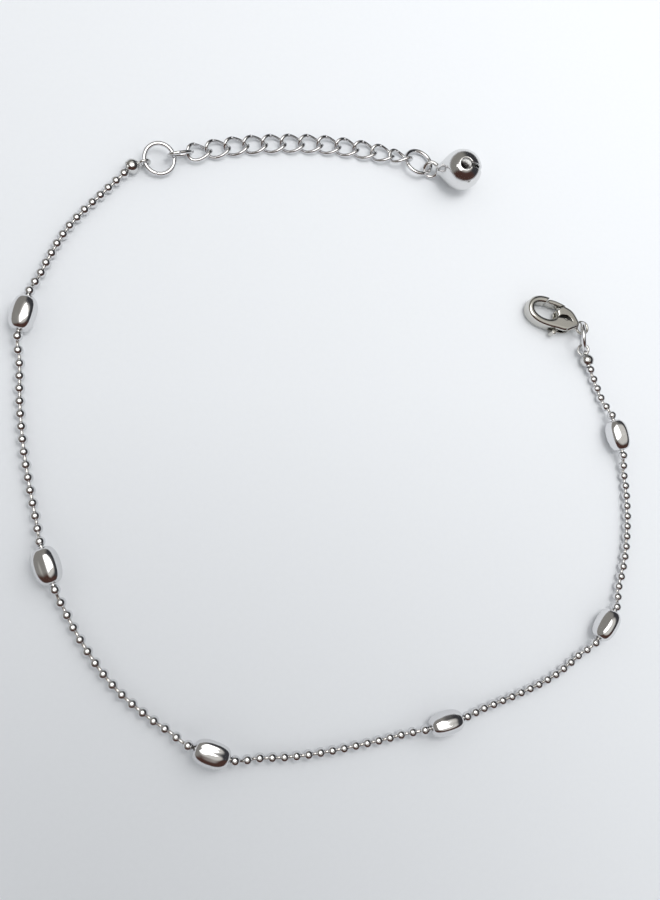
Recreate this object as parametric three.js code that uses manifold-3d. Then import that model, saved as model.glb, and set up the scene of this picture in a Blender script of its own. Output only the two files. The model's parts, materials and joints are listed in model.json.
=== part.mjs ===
// Ball chain anklet with six oval beads, a lobster clasp and a curb extension chain that ends in
// a round bell. It lies open on a flat surface. Millimetres, +Z up, the surface at z = 0.
import * as THREE from 'three';
import { mergeVertices } from 'three/addons/utils/BufferGeometryUtils.js';
import Module from 'manifold-3d';

const wasm = await Module();
wasm.setup();

// Ball chain. Its length is along the chain, from its first ball to its last.
const CHAIN_LENGTH = 212.5;
const BALL_DIAMETER = 1.5;
const BAR_DIAMETER = 0.5;
const CHAIN_SIDES = 10;

// Oval beads
const BEAD_DIAMETER = 3.6;
const BEAD_LENGTH = 5.2;
const BEAD_BORE = 0.9;
const BEAD_SIDES = 12;
const BEAD_TO_BALL = 0.12;

// End connectors: a thin cup on the last ball, and a wire loop
const CUP_WALL = 0.16;
const CUP_CLEARANCE = 0.2;
const LOOP_WIRE = 0.46;
const LOOP_HOLE = 1.2;

// Jump rings
const RING_OUTER = 5.2;
const RING_WIRE = 0.7;
const RING_PLAY = 0.12;

// Curb links
const LINK_LENGTH = 4.3;
const LINK_WIDTH = 3.2;
const LINK_WIRE = 0.56;
const LINK_PLAY = 0.15;
const LINK_COUNT = 13;

// Bell
const BELL_DIAMETER = 6.5;
const BELL_WALL = 0.45;
const BELL_HOLE = 1.8;
const BELL_SLOT = 0.6;
const BELL_LOOP_OUTER = 2.9;
const BELL_LOOP_WIRE = 0.62;
const BELL_LOOP_TO_CENTRE = 5.1;
const CLAPPER_DIAMETER = 2.0;

// Lobster clasp
const CLASP_LENGTH = 10.5;
const CLASP_WIDTH = 5.0;
const CLASP_THICKNESS = 2.3;
const CLASP_SLOT = 1.1;
const CLASP_BEVEL = 0.25;
const CLASP_GAP = 0.15;
const PIVOT_PIN = 0.7;
const LEVER_HUB_WALL = 0.5;
const GATE_RECESS = 0.2;
const THUMB_KNOB = 0.84;
const TAIL_LOOP_WIRE = 0.46;
const TAIL_LOOP_HOLE = 1.6;
const TAIL_LOOP_HEIGHT = 1.45;

const Z_AXIS = new THREE.Vector3(0, 0, 1);
const degrees = THREE.MathUtils.degToRad;

// The shape that the ball chain lies in, in plan, before it is scaled to the chain's length: each
// run's points between its two beads, chosen by hand, and how much bar shows between two balls.
const CHAIN_RUNS = [
  { bar: 0.17, points: [[-32.9, 40.3], [-37.6, 35.1], [-42.4, 28.9]] },
  { bar: 0.33, points: [[-47.4, 16.1], [-47.7, 7.2], [-46.7, -3.6]] },
  { bar: 0.42, points: [[-43.0, -19.4], [-38.9, -28.8], [-32.3, -37.6]] },
  { bar: 0.28, points: [[-20.6, -45.5], [-10.6, -46.9], [1.6, -45.9]] },
  { bar: 0.15, points: [[14.1, -43.6], [23.8, -41.0], [33.8, -37.1]] },
  { bar: 0.14, points: [[41.9, -30.2], [46.4, -20.6], [47.8, -9.0]] },
  { bar: 0.22, points: [[46.4, 0.6], [44.5, 6.5], [42.0, 13.4]] },
];

// The extension chain's route in plan, as steps from its first link.
const EXTENSION_ROUTE = [[0, 0], [8.5, 2.7], [20.8, 4.5], [30.0, 4.4], [35.8, 3.7]];

const chrome = new THREE.MeshStandardMaterial({ color: 0xd8d9dc, roughness: 0.08, metalness: 1 });
const satin = new THREE.MeshStandardMaterial({ color: 0xc2c2bf, roughness: 0.22, metalness: 1 });
const anklet = new THREE.Group();
anklet.name = 'ball_chain_anklet';

// Removes the normals, the seams and the empty triangles, so that the skin is one closed mesh.
function closedSkin(geometry) {
  const plain = geometry.clone();
  plain.deleteAttribute('normal');
  plain.deleteAttribute('uv');
  const merged = mergeVertices(plain, 1e-4);
  const kept = [];
  const index = merged.index.array;
  for (let i = 0; i < index.length; i += 3) {
    const [a, b, c] = [index[i], index[i + 1], index[i + 2]];
    if (a !== b && b !== c && c !== a) kept.push(a, b, c);
  }
  merged.setIndex(kept);
  return merged;
}

function solid(geometry) {
  const skin = closedSkin(geometry);
  return new wasm.Manifold(new wasm.Mesh({
    numProp: 3,
    vertProperties: new Float32Array(skin.attributes.position.array),
    triVerts: new Uint32Array(skin.index.array),
  }));
}

function geometryOf(body) {
  const mesh = body.getMesh();
  const geometry = new THREE.BufferGeometry();
  geometry.setAttribute('position', new THREE.BufferAttribute(mesh.vertProperties, 3));
  geometry.setIndex(new THREE.BufferAttribute(mesh.triVerts, 1));
  return geometry;
}

function add(name, geometry, material, frame = new THREE.Matrix4()) {
  const faceted = geometry.index ? geometry.toNonIndexed() : geometry;
  faceted.computeVertexNormals();
  const mesh = new THREE.Mesh(faceted, material);
  mesh.name = name;
  frame.decompose(mesh.position, mesh.quaternion, mesh.scale);
  anklet.add(mesh);
  return mesh;
}

// A frame at a point whose x axis points along a direction. roll turns it about that axis.
function frameAt(point, direction, roll = 0) {
  const x = direction.clone().normalize();
  const y = new THREE.Vector3().crossVectors(Z_AXIS, x).normalize();
  const z = new THREE.Vector3().crossVectors(x, y);
  const turn = new THREE.Matrix4().makeBasis(x, y, z);
  return new THREE.Matrix4().makeTranslation(point).multiply(turn)
    .multiply(new THREE.Matrix4().makeRotationX(roll));
}

function heading(angle, slope = 0) {
  const [a, s] = [degrees(angle), degrees(slope)];
  return new THREE.Vector3(Math.cos(a) * Math.cos(s), Math.sin(a) * Math.cos(s), Math.sin(s));
}

// A closed wire ring in the xy plane of its own frame.
function wireRing(outer, wire, steps, sides) {
  return new THREE.TorusGeometry((outer - wire) / 2, wire / 2, sides, steps);
}

// Ball chain
const ballRadius = BALL_DIAMETER / 2;
const beadRadius = BEAD_DIAMETER / 2;
const cupRadius = ballRadius + CUP_CLEARANCE + CUP_WALL;
const RISE_LENGTH = 2 * BALL_DIAMETER + 1;

function planCurve(points, scale = 1) {
  const places = points.map(([x, y]) => new THREE.Vector3(x, y, 0).multiplyScalar(scale));
  const curve = new THREE.CatmullRomCurve3(places, false, 'centripetal');
  curve.arcLengthDivisions = 2000;
  return curve;
}

const routePoints = CHAIN_RUNS.flatMap((run) => run.points);
const route = planCurve(routePoints, CHAIN_LENGTH / planCurve(routePoints).getLength());
const routeLength = route.getLength();

// Arc length from the route's start to its point number i.
function stationOf(i) {
  const lengths = route.getLengths(route.arcLengthDivisions);
  return lengths[Math.round(i / (routePoints.length - 1) * route.arcLengthDivisions)];
}

const beadStations = [];
CHAIN_RUNS.slice(0, -1).reduce((count, run) => {
  beadStations.push(stationOf(count + run.points.length));
  return count + run.points.length;
}, 0);

// The chain lies on the surface, and climbs to the middle of each bead and of each end cup.
function routeHeight(s) {
  const climb = (distance, flat, high) => {
    const t = THREE.MathUtils.smoothstep(distance, flat, flat + RISE_LENGTH);
    return (high - ballRadius) * (1 - t);
  };
  const near = Math.min(...beadStations.map((station) => Math.abs(s - station)));
  const end = Math.min(s, routeLength - s);
  return ballRadius + climb(near, BEAD_LENGTH / 2, beadRadius) + climb(end, 0, cupRadius);
}

// A place on the route, which runs straight through each bead.
function routePlace(s) {
  const on = (station) => THREE.MathUtils.clamp(station / routeLength, 0, 1);
  const point = route.getPointAt(on(s));
  beadStations.forEach((station) => {
    const half = BEAD_LENGTH / 2;
    const curved = THREE.MathUtils.smoothstep(Math.abs(s - station), half, half + RISE_LENGTH);
    if (curved < 1) {
      const straight = route.getPointAt(on(station));
      straight.addScaledVector(route.getTangentAt(on(station)), s - station);
      point.lerp(straight, 1 - curved);
    }
  });
  point.z = routeHeight(s);
  return point;
}

function routeFrame(s) {
  const step = 0.05;
  const direction = routePlace(Math.min(s + step, routeLength)).sub(routePlace(Math.max(s - step, 0)));
  return frameAt(routePlace(s), direction);
}

// Places of the balls along the route: each run is filled evenly between its beads or end cups.
const ballStations = [];
const ends = [0, ...beadStations, routeLength];
CHAIN_RUNS.forEach((run, i) => {
  const clear = BEAD_LENGTH / 2 + BEAD_TO_BALL + ballRadius;
  const first = ends[i] + (i > 0 ? clear : 0);
  const last = ends[i + 1] - (i < CHAIN_RUNS.length - 1 ? clear : 0);
  const spaces = Math.round((last - first) / (BALL_DIAMETER + run.bar));
  for (let k = 0; k <= spaces; k += 1) ballStations.push(first + (last - first) * k / spaces);
});

// A ball's outline from one side to the other, in ball radii along and across the chain.
const BALL_OUTLINE = [
  { along: -0.35, across: 1 },
  { along: 0.35, across: 1 },
];
const barRadius = BAR_DIAMETER / 2;
const barSeat = Math.sqrt(ballRadius ** 2 - barRadius ** 2);

// The string of balls and bars between two stations: turned straight, then bent along the route.
function chainGeometry(start, end) {
  const profile = [new THREE.Vector2(0, start), new THREE.Vector2(barRadius, start)];
  ballStations.filter((s) => s - barSeat >= start - 1e-6 && s + barSeat <= end + 1e-6).forEach((s) => {
    profile.push(new THREE.Vector2(barRadius, s - barSeat));
    BALL_OUTLINE.forEach(({ along, across }) => {
      profile.push(new THREE.Vector2(across * ballRadius, s + along * ballRadius));
    });
    profile.push(new THREE.Vector2(barRadius, s + barSeat));
  });
  profile.push(new THREE.Vector2(barRadius, end), new THREE.Vector2(0, end));
  const straight = new THREE.LatheGeometry(profile, CHAIN_SIDES, Math.PI);
  const position = straight.attributes.position;
  const vertex = new THREE.Vector3();
  for (let i = 0; i < position.count; i += 1) {
    vertex.fromBufferAttribute(position, i);
    const s = THREE.MathUtils.clamp(vertex.y, 0, routeLength);
    vertex.set(vertex.y - s, -vertex.x, vertex.z).applyMatrix4(routeFrame(s));
    position.setXYZ(i, vertex.x, vertex.y, vertex.z);
  }
  return geometryOf(solid(straight));
}

const MEETING_GAP = 0.3;
const meeting = beadStations[2];
const tail = barSeat;
add('ball_chain_left', chainGeometry(-tail, meeting - MEETING_GAP / 2), chrome);
add('ball_chain_right', chainGeometry(meeting + MEETING_GAP / 2, routeLength + tail), chrome);

// Oval beads
// Half of a bead's outline: shares of the half length and of the radius.
const BEAD_OUTLINE = [
  { along: 1.0, across: 0.42 },
  { along: 0.9, across: 0.66 },
  { along: 0.62, across: 0.89 },
  { along: 0.25, across: 1.0 },
];

function beadGeometry() {
  const half = BEAD_OUTLINE.map(({ along, across }) => [across * beadRadius, along * BEAD_LENGTH / 2]);
  const outline = [
    [BEAD_BORE / 2, -BEAD_LENGTH / 2],
    ...half.map(([r, y]) => [r, -y]),
    ...half.slice().reverse(),
    [BEAD_BORE / 2, BEAD_LENGTH / 2],
    [BEAD_BORE / 2, -BEAD_LENGTH / 2],
  ].map(([r, y]) => new THREE.Vector2(r, y));
  return closedSkin(new THREE.LatheGeometry(outline, BEAD_SIDES, Math.PI).rotateZ(-Math.PI / 2));
}

beadStations.forEach((s, i) => {
  add(`oval_bead_${i + 1}`, beadGeometry(), chrome, routeFrame(s));
});

// End connectors. In the connector's own frame the ball is at the origin, its mouth faces -x and
// its loop stands on +x, in the xz plane.
const loopOuter = LOOP_HOLE + 2 * LOOP_WIRE;
const loopAt = cupRadius + loopOuter / 2 - LOOP_WIRE * 0.6;

function connectorGeometry() {
  const MOUTH = degrees(48);
  const SEGMENTS = 4;
  const arc = (radius) => Array.from({ length: SEGMENTS + 1 }, (_, i) => {
    const angle = MOUTH + (Math.PI - MOUTH) * i / SEGMENTS;
    return new THREE.Vector2(i === SEGMENTS ? 0 : radius * Math.sin(angle), -radius * Math.cos(angle));
  });
  const outline = [...arc(cupRadius - CUP_WALL).reverse(), ...arc(cupRadius)];
  const cup = solid(new THREE.LatheGeometry(outline, 10).rotateZ(-Math.PI / 2));
  const loop = wireRing(loopOuter, LOOP_WIRE, 12, 6).rotateX(Math.PI / 2).translate(loopAt, 0, 0);
  return geometryOf(cup.add(solid(loop)));
}

function addConnector(name, station, angle, roll) {
  const frame = frameAt(routePlace(station), heading(angle), degrees(roll));
  add(name, connectorGeometry(), satin, frame);
  return new THREE.Vector3(loopAt, 0, 0).applyMatrix4(frame);
}

// Jump rings. A ring's normal is the z axis of its frame, and its x axis points from its centre to
// the piece that it hangs in.
const ringRadius = (RING_OUTER - RING_WIRE) / 2;

function addRing(name, centre, normal, from) {
  const z = normal.clone().normalize();
  const x = from.clone().addScaledVector(z, -from.dot(z)).normalize();
  const y = new THREE.Vector3().crossVectors(z, x);
  const frame = new THREE.Matrix4().makeTranslation(centre).multiply(
    new THREE.Matrix4().makeBasis(x, y, z));
  add(name, wireRing(RING_OUTER, RING_WIRE, 16, 6), chrome, frame);
}

const CUP_TO_RING = 20.5;
const leftLoop = addConnector('end_connector_left', 0, CUP_TO_RING, 0);
const LARGE_RING_TILT = 16;
const LARGE_RING_LIFT = 0.3;
const largeCentre = leftLoop.clone().addScaledVector(heading(CUP_TO_RING), ringRadius + RING_PLAY);
largeCentre.z = leftLoop.z + LARGE_RING_LIFT;
const largeNormal = new THREE.Vector3(0.02, -Math.sin(degrees(LARGE_RING_TILT)), 1);
addRing('jump_ring_large', largeCentre, largeNormal, heading(180 + CUP_TO_RING));

// Curb links. Each link is an oval that is twisted a quarter turn from one end to the other, so
// that the chain lies flat.
class TwistedOval extends THREE.Curve {
  constructor(halfLength, halfWidth, twist) {
    super();
    Object.assign(this, { halfLength, halfWidth, twist });
  }

  getPoint(t, target = new THREE.Vector3()) {
    const angle = 2 * Math.PI * t;
    const square = 1.18;
    const round = (value) => Math.sign(value) * Math.abs(value) ** (1 / square);
    const x = this.halfLength * round(Math.cos(angle));
    const across = this.halfWidth * round(Math.sin(angle));
    const turn = -this.twist / 2 * x / this.halfLength;
    return target.set(x, across * Math.cos(turn), across * Math.sin(turn));
  }
}

const LINK_STEPS = 14;
const linkHalfLength = (LINK_LENGTH - LINK_WIRE) / 2;
const linkHalfWidth = (LINK_WIDTH - LINK_WIRE) / 2;
const linkPitch = LINK_LENGTH - 2 * LINK_WIRE - LINK_PLAY;

function linkGeometry(twist) {
  const oval = new TwistedOval(linkHalfLength, linkHalfWidth, degrees(twist));
  return closedSkin(new THREE.TubeGeometry(oval, LINK_STEPS, LINK_WIRE / 2, 6, true));
}

// How the links lie: twist and roll in degrees, and the height of the link's middle. The links at
// both ends of the chain differ from the others.
const PLAIN_POSE = { twist: 90, roll: 0, height: 0.775 };
const LINK_POSES = new Map([
  [0, { twist: 0, roll: 110, height: 1.68 }],
  [1, { twist: 90, roll: -10, height: 1.09 }],
  [2, { twist: 90, roll: 0, height: 0.84 }],
  [LINK_COUNT - 3, { twist: 90, roll: 0, height: 0.79 }],
  [LINK_COUNT - 2, { twist: 90, roll: -8, height: 0.87 }],
  [LINK_COUNT - 1, { twist: 90, roll: -35, height: 1.18 }],
]);
const poseOf = (i) => LINK_POSES.get(i) ?? PLAIN_POSE;

const FIRST_LINK_HEADING = 18;
const firstLink = largeCentre.clone().addScaledVector(
  heading(FIRST_LINK_HEADING),
  ringRadius + linkHalfLength - (RING_WIRE + LINK_WIRE) / 2 - RING_PLAY - LINK_PLAY / 2);
const extension = planCurve(EXTENSION_ROUTE);
const extensionLength = extension.getLength();

function extensionPlace(s) {
  const inside = THREE.MathUtils.clamp(s / extensionLength, 0, 1);
  const beyond = s - inside * extensionLength;
  return extension.getPointAt(inside).addScaledVector(extension.getTangentAt(inside), beyond)
    .add(firstLink);
}

const linkCentres = Array.from({ length: LINK_COUNT }, (_, i) => {
  const centre = extensionPlace(i * linkPitch);
  centre.z = poseOf(i).height;
  return centre;
});

linkCentres.forEach((centre, i) => {
  const before = linkCentres[Math.max(i - 1, 0)];
  const after = linkCentres[Math.min(i + 1, LINK_COUNT - 1)];
  const { twist, roll } = poseOf(i);
  const number = String(i + 1).padStart(2, '0');
  add(`curb_link_${number}`, linkGeometry(twist), chrome,
    frameAt(centre, after.clone().sub(before), degrees(roll)));
});

// End ring
const END_RING_HEADING = -31;
const END_RING_TILT = 14;
const END_RING_LIFT = 0.1;
const LAST_LINK_HEADING = -8;
const lastLink = linkCentres[LINK_COUNT - 1];
const endCentre = lastLink.clone().add(heading(LAST_LINK_HEADING).multiplyScalar(
  linkHalfLength - LINK_WIRE / 2 - RING_WIRE / 2 - 2 * RING_PLAY + ringRadius));
endCentre.z = RING_WIRE / 2 + ringRadius * Math.sin(degrees(END_RING_TILT)) + END_RING_LIFT;
const endNormal = heading(END_RING_HEADING + 90).multiplyScalar(Math.sin(degrees(END_RING_TILT)))
  .addScaledVector(Z_AXIS, Math.cos(degrees(END_RING_TILT)));
addRing('jump_ring_end', endCentre, endNormal, heading(180));

// Bell. In its own frame the ball of the bell is at the origin, its loop stands on -x and the slot
// crosses its far side, between two round holes.
const BELL_HOLE_ANGLE = 73;
const BELL_SLOT_TURN = 65;
const bellRadius = BELL_DIAMETER / 2;

function bellGeometry() {
  const NECK_ANGLE = degrees(150);
  const STEPS = 8;
  const outline = [new THREE.Vector2(0, bellRadius)];
  for (let i = 1; i <= STEPS; i += 1) {
    const angle = NECK_ANGLE * i / STEPS;
    outline.push(new THREE.Vector2(bellRadius * Math.sin(angle), bellRadius * Math.cos(angle)));
  }
  const neck = BELL_LOOP_TO_CENTRE - BELL_LOOP_OUTER / 2 + BELL_LOOP_WIRE;
  outline.push(new THREE.Vector2(0.22 * bellRadius, -neck), new THREE.Vector2(0, -neck));
  outline.reverse();
  const outside = solid(new THREE.LatheGeometry(outline, 16));
  const inside = solid(new THREE.SphereGeometry(bellRadius - BELL_WALL, 14, 9));
  const loop = solid(wireRing(BELL_LOOP_OUTER, BELL_LOOP_WIRE, 14, 6)
    .translate(0, -BELL_LOOP_TO_CENTRE, 0));
  let bell = outside.subtract(inside).add(loop);
  const reach = 2 * bellRadius;
  const slotDepth = bellRadius * Math.cos(degrees(BELL_HOLE_ANGLE));
  const slot = new THREE.BoxGeometry(reach, bellRadius, BELL_SLOT)
    .translate(0, slotDepth + bellRadius / 2, 0).rotateY(degrees(BELL_SLOT_TURN));
  bell = bell.subtract(solid(slot));
  [-1, 1].forEach((side) => {
    const hole = new THREE.CylinderGeometry(BELL_HOLE / 2, BELL_HOLE / 2, bellRadius, 12)
      .translate(0, bellRadius, 0).rotateZ(-side * degrees(BELL_HOLE_ANGLE))
      .rotateY(degrees(BELL_SLOT_TURN));
    bell = bell.subtract(solid(hole));
  });
  return geometryOf(bell).rotateZ(-Math.PI / 2);
}

const BELL_HEADING = -7.6;
const BELL_ROLL = 36;
const BELL_LOOP_SEAT = { beyondRing: 0.54, aside: 0.08 };
const CLAPPER_LIFT = 0.35;
const bellLoopHeight = BELL_LOOP_OUTER / 2 * 0.8;
const bellSlope = Math.asin((bellRadius - bellLoopHeight) / BELL_LOOP_TO_CENTRE);
const endRingExit = heading(END_RING_HEADING).multiplyScalar(
  ringRadius - (BELL_LOOP_OUTER / 2 - BELL_LOOP_WIRE) + RING_WIRE / 2 + RING_PLAY
  + BELL_LOOP_SEAT.beyondRing);
const bellLoop = endCentre.clone().add(endRingExit);
bellLoop.y += BELL_LOOP_SEAT.aside;
bellLoop.z = bellLoopHeight;
const bellDirection = heading(BELL_HEADING, bellSlope * 180 / Math.PI);
const bellCentre = bellLoop.clone().addScaledVector(bellDirection, BELL_LOOP_TO_CENTRE);
add('bell_body', bellGeometry(), chrome, frameAt(bellCentre, bellDirection, degrees(BELL_ROLL)));
const clapperSeat = bellRadius - BELL_WALL - CLAPPER_DIAMETER / 2 - CLAPPER_LIFT;
add('bell_clapper', new THREE.SphereGeometry(CLAPPER_DIAMETER / 2, 12, 7), satin,
  new THREE.Matrix4().makeTranslation(bellCentre.x, bellCentre.y, bellCentre.z - clapperSeat));

// Right end: connector, small ring and clasp
const RIGHT_HEADING = 108;
const RIGHT_ROLL = 48;
const rightLoop = addConnector('end_connector_right', routeLength, RIGHT_HEADING, RIGHT_ROLL);
const RING_LEAN = 30;
const CLASP_RING_SEAT = { x: -0.55, y: -0.42 };
const claspRingCentre = new THREE.Vector3(
  rightLoop.x + CLASP_RING_SEAT.x,
  rightLoop.y + ringRadius + CLASP_RING_SEAT.y,
  ringRadius * Math.cos(degrees(RING_LEAN)) + RING_WIRE / 2);
addRing('jump_ring_clasp', claspRingCentre, heading(0, RING_LEAN), heading(90));

// Lobster clasp. In its own frame the tail loop is at the origin, the nose points along +x, the
// gate is on the -y side and the thumb tab on the +y side.
const CLASP_HEADING = 160;
const claspHalf = CLASP_WIDTH / 2;
const pivot = new THREE.Vector2(0.325 * CLASP_LENGTH, -0.1 * claspHalf);
const GATE_OPENING = { start: -75, end: 4 };
const gateInner = 0.183 * CLASP_LENGTH;
const gateOuter = 0.415 * CLASP_LENGTH;
const cheek = (CLASP_THICKNESS - CLASP_SLOT) / 2;

// The clasp's outline: curves whose points are shares of its length and of its half width.
const CLASP_OUTLINE = [
  { from: [0.14, -0.3], bend: [0.2, -0.8], end: [0.34, -0.84] },
  { from: [0.48, -0.9], bend: [0.52, -1.0], end: [0.68, -1.0] },
  { from: [0.88, -1.0], bend: [1.0, -0.6], end: [1.0, 0.0] },
  { from: [1.0, 0.6], bend: [0.88, 1.0], end: [0.68, 1.0] },
  { from: [0.52, 1.0], bend: [0.48, 0.9], end: [0.34, 0.84] },
  { from: [0.2, 0.8], bend: [0.14, 0.3], end: [0.08, 0.2] },
];

function claspPoint([x, y]) {
  return [x * CLASP_LENGTH, y * claspHalf];
}

function claspOutline() {
  const outline = new THREE.Shape();
  outline.moveTo(...claspPoint([0.08, -0.2]));
  CLASP_OUTLINE.forEach(({ from, bend, end }) => {
    outline.bezierCurveTo(...claspPoint(from), ...claspPoint(bend), ...claspPoint(end));
  });
  outline.closePath();
  return outline;
}

function plate(shape, bottom, top, curveSegments = 6) {
  return solid(new THREE.ExtrudeGeometry(shape, {
    depth: top - bottom, bevelEnabled: false, curveSegments,
  }).translate(0, 0, bottom));
}

// A ring sector about the pivot, between two radii and two angles in degrees.
function sector(inner, outer, start, end) {
  const shape = new THREE.Shape();
  shape.absarc(pivot.x, pivot.y, outer, degrees(start), degrees(end), false);
  shape.absarc(pivot.x, pivot.y, inner, degrees(end), degrees(start), true);
  shape.closePath();
  return shape;
}

function disc(x, y, radius) {
  return new THREE.Shape().absarc(x, y, radius, 0, 2 * Math.PI, false);
}

function claspBody() {
  const outer = solid(new THREE.ExtrudeGeometry(claspOutline(), {
    depth: CLASP_THICKNESS - 2 * CLASP_BEVEL, bevelEnabled: true, bevelThickness: CLASP_BEVEL,
    bevelSize: CLASP_BEVEL, bevelOffset: -CLASP_BEVEL, bevelSegments: 1, curveSegments: 4,
  }).translate(0, 0, CLASP_BEVEL));
  const eye = new THREE.Shape().absellipse(
    0.69 * CLASP_LENGTH, 0, 0.205 * CLASP_LENGTH, 0.52 * claspHalf, 0, 2 * Math.PI, false);
  const gateOpening = sector(gateInner, gateOuter, GATE_OPENING.start, GATE_OPENING.end);
  const below = -CLASP_THICKNESS;
  const above = 2 * CLASP_THICKNESS;
  const slot = new THREE.Shape();
  [[0.21, -1.3], [0.53, -1.3], [0.53, 1.3], [0.21, 1.3]].forEach((point, i) => {
    slot[i ? 'lineTo' : 'moveTo'](...claspPoint(point));
  });
  slot.closePath();
  const pin = new THREE.CylinderGeometry(PIVOT_PIN / 2, PIVOT_PIN / 2, CLASP_THICKNESS - CLASP_BEVEL, 12)
    .rotateX(Math.PI / 2).translate(pivot.x, pivot.y, CLASP_THICKNESS / 2);
  const tailLoop = wireRing(TAIL_LOOP_HOLE + 2 * TAIL_LOOP_WIRE, TAIL_LOOP_WIRE, 14, 6)
    .translate(0, 0, TAIL_LOOP_HEIGHT);
  return outer
    .subtract(plate(eye, below, above, 7))
    .subtract(plate(gateOpening, below, above, 5))
    .subtract(plate(slot, cheek, CLASP_THICKNESS - cheek))
    .add(solid(pin))
    .add(solid(tailLoop));
}

function claspLever() {
  const low = cheek + CLASP_GAP;
  const high = CLASP_THICKNESS - cheek - CLASP_GAP;
  const hubRadius = PIVOT_PIN / 2 + CLASP_GAP + LEVER_HUB_WALL;
  const gateLow = GATE_RECESS;
  const gateHigh = CLASP_THICKNESS - GATE_RECESS;
  const tipAngle = -26.5;
  const rootAngle = -58;
  const gate = new THREE.Shape();
  const on = (radius, angle) => [
    pivot.x + radius * Math.cos(degrees(angle)), pivot.y + radius * Math.sin(degrees(angle))];
  gate.moveTo(...on(gateInner + CLASP_GAP, rootAngle + 14));
  gate.lineTo(...on(gateOuter - CLASP_GAP, tipAngle + 10));
  gate.absarc(pivot.x, pivot.y, gateOuter - CLASP_GAP, degrees(tipAngle + 10), degrees(tipAngle), true);
  gate.quadraticCurveTo(...on(0.82 * gateOuter, -40), ...on(gateInner + CLASP_GAP, rootAngle - 16));
  gate.closePath();
  const tongue = new THREE.Shape();
  const tongueEnd = gateInner + 4 * CLASP_GAP;
  const root = hubRadius / 2;
  [[root, -38], [tongueEnd, -42], [tongueEnd, -66], [root, -95]].forEach(([r, a], i) => {
    tongue[i ? 'lineTo' : 'moveTo'](...on(r, a));
  });
  tongue.closePath();
  const thumb = new THREE.Shape();
  const thumbAngle = 67;
  const thumbRadius = 1.36 * claspHalf;
  [[root, -35], [thumbRadius, -7], [thumbRadius, 7], [root, 35]].forEach(([r, a], i) => {
    thumb[i ? 'lineTo' : 'moveTo'](...on(r, thumbAngle + a));
  });
  thumb.closePath();
  const knob = new THREE.CylinderGeometry(
    THUMB_KNOB / 2, THUMB_KNOB / 2, CLASP_THICKNESS - 3 * GATE_RECESS, 10)
    .rotateX(Math.PI / 2).translate(...on(thumbRadius, thumbAngle), CLASP_THICKNESS / 2);
  const bore = new THREE.CylinderGeometry(
    PIVOT_PIN / 2 + CLASP_GAP, PIVOT_PIN / 2 + CLASP_GAP, 2 * CLASP_THICKNESS, 12)
    .rotateX(Math.PI / 2).translate(pivot.x, pivot.y, CLASP_THICKNESS / 2);
  return plate(disc(pivot.x, pivot.y, hubRadius), low, high, 12)
    .add(plate(tongue, low, high))
    .add(plate(thumb, low, high))
    .add(plate(gate, gateLow, gateHigh))
    .add(solid(knob))
    .subtract(solid(bore));
}

const TAIL_SEAT = { x: 0.35, y: -0.35 };
const tailPlace = new THREE.Vector3(
  claspRingCentre.x + TAIL_SEAT.x, claspRingCentre.y + ringRadius + TAIL_SEAT.y, 0);
const claspFrame = frameAt(tailPlace, heading(CLASP_HEADING));
add('clasp_body', geometryOf(claspBody()), satin, claspFrame);
add('clasp_lever', geometryOf(claspLever()), satin, claspFrame);

// The part's frame: the middle of its footprint, at the surface that it lies on.
const footprint = new THREE.Box3().setFromObject(anklet, true);
const middle = footprint.getCenter(new THREE.Vector3());
anklet.position.set(-middle.x, -middle.y, -footprint.min.z);

export default anklet;
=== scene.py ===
import bisect
import json
import math
import random

import bpy
import numpy as np
from bpy.props import FloatProperty, FloatVectorProperty, PointerProperty
from mathutils import Matrix, Vector


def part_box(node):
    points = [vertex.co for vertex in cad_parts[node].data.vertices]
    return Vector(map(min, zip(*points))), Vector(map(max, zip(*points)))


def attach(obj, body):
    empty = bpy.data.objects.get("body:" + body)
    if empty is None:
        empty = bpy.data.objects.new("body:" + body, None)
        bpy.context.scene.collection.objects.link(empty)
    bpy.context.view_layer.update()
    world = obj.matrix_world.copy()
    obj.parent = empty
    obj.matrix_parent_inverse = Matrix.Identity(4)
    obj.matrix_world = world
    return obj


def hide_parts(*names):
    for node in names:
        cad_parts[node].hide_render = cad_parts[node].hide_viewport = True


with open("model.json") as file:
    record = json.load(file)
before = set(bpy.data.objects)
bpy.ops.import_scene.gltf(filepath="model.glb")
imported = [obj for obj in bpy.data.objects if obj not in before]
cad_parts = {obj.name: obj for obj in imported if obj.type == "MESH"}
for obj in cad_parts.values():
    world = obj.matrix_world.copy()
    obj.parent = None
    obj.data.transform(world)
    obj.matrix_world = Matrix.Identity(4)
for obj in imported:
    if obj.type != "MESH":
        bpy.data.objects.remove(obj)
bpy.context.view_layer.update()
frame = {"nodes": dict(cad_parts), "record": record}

bl_info = {
    "name": "Ball Chain Anklet",
    "version": (1, 0, 0),
    "blender": (4, 5, 0),
    "location": "View3D > Sidebar > Anklet",
    "description": "Builds the fine pieces, finishes and stage of a ball chain anklet",
    "category": "Object",
}

MM = 0.001
Z_AXIS = Vector((0, 0, 1))
PLACE_TOLERANCE = 0.35

# The shape that the ball chain lies in, in plan, before it is scaled to the chain's length: each
# run's points between its two beads, and how much bar shows between two balls of that run.
CHAIN_RUNS = [
    (0.17, [(-32.9, 40.3), (-37.6, 35.1), (-42.4, 28.9)]),
    (0.33, [(-47.4, 16.1), (-47.7, 7.2), (-46.7, -3.6)]),
    (0.42, [(-43.0, -19.4), (-38.9, -28.8), (-32.3, -37.6)]),
    (0.28, [(-20.6, -45.5), (-10.6, -46.9), (1.6, -45.9)]),
    (0.15, [(14.1, -43.6), (23.8, -41.0), (33.8, -37.1)]),
    (0.14, [(41.9, -30.2), (46.4, -20.6), (47.8, -9.0)]),
    (0.22, [(46.4, 0.6), (44.5, 6.5), (42.0, 13.4)]),
]

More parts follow.
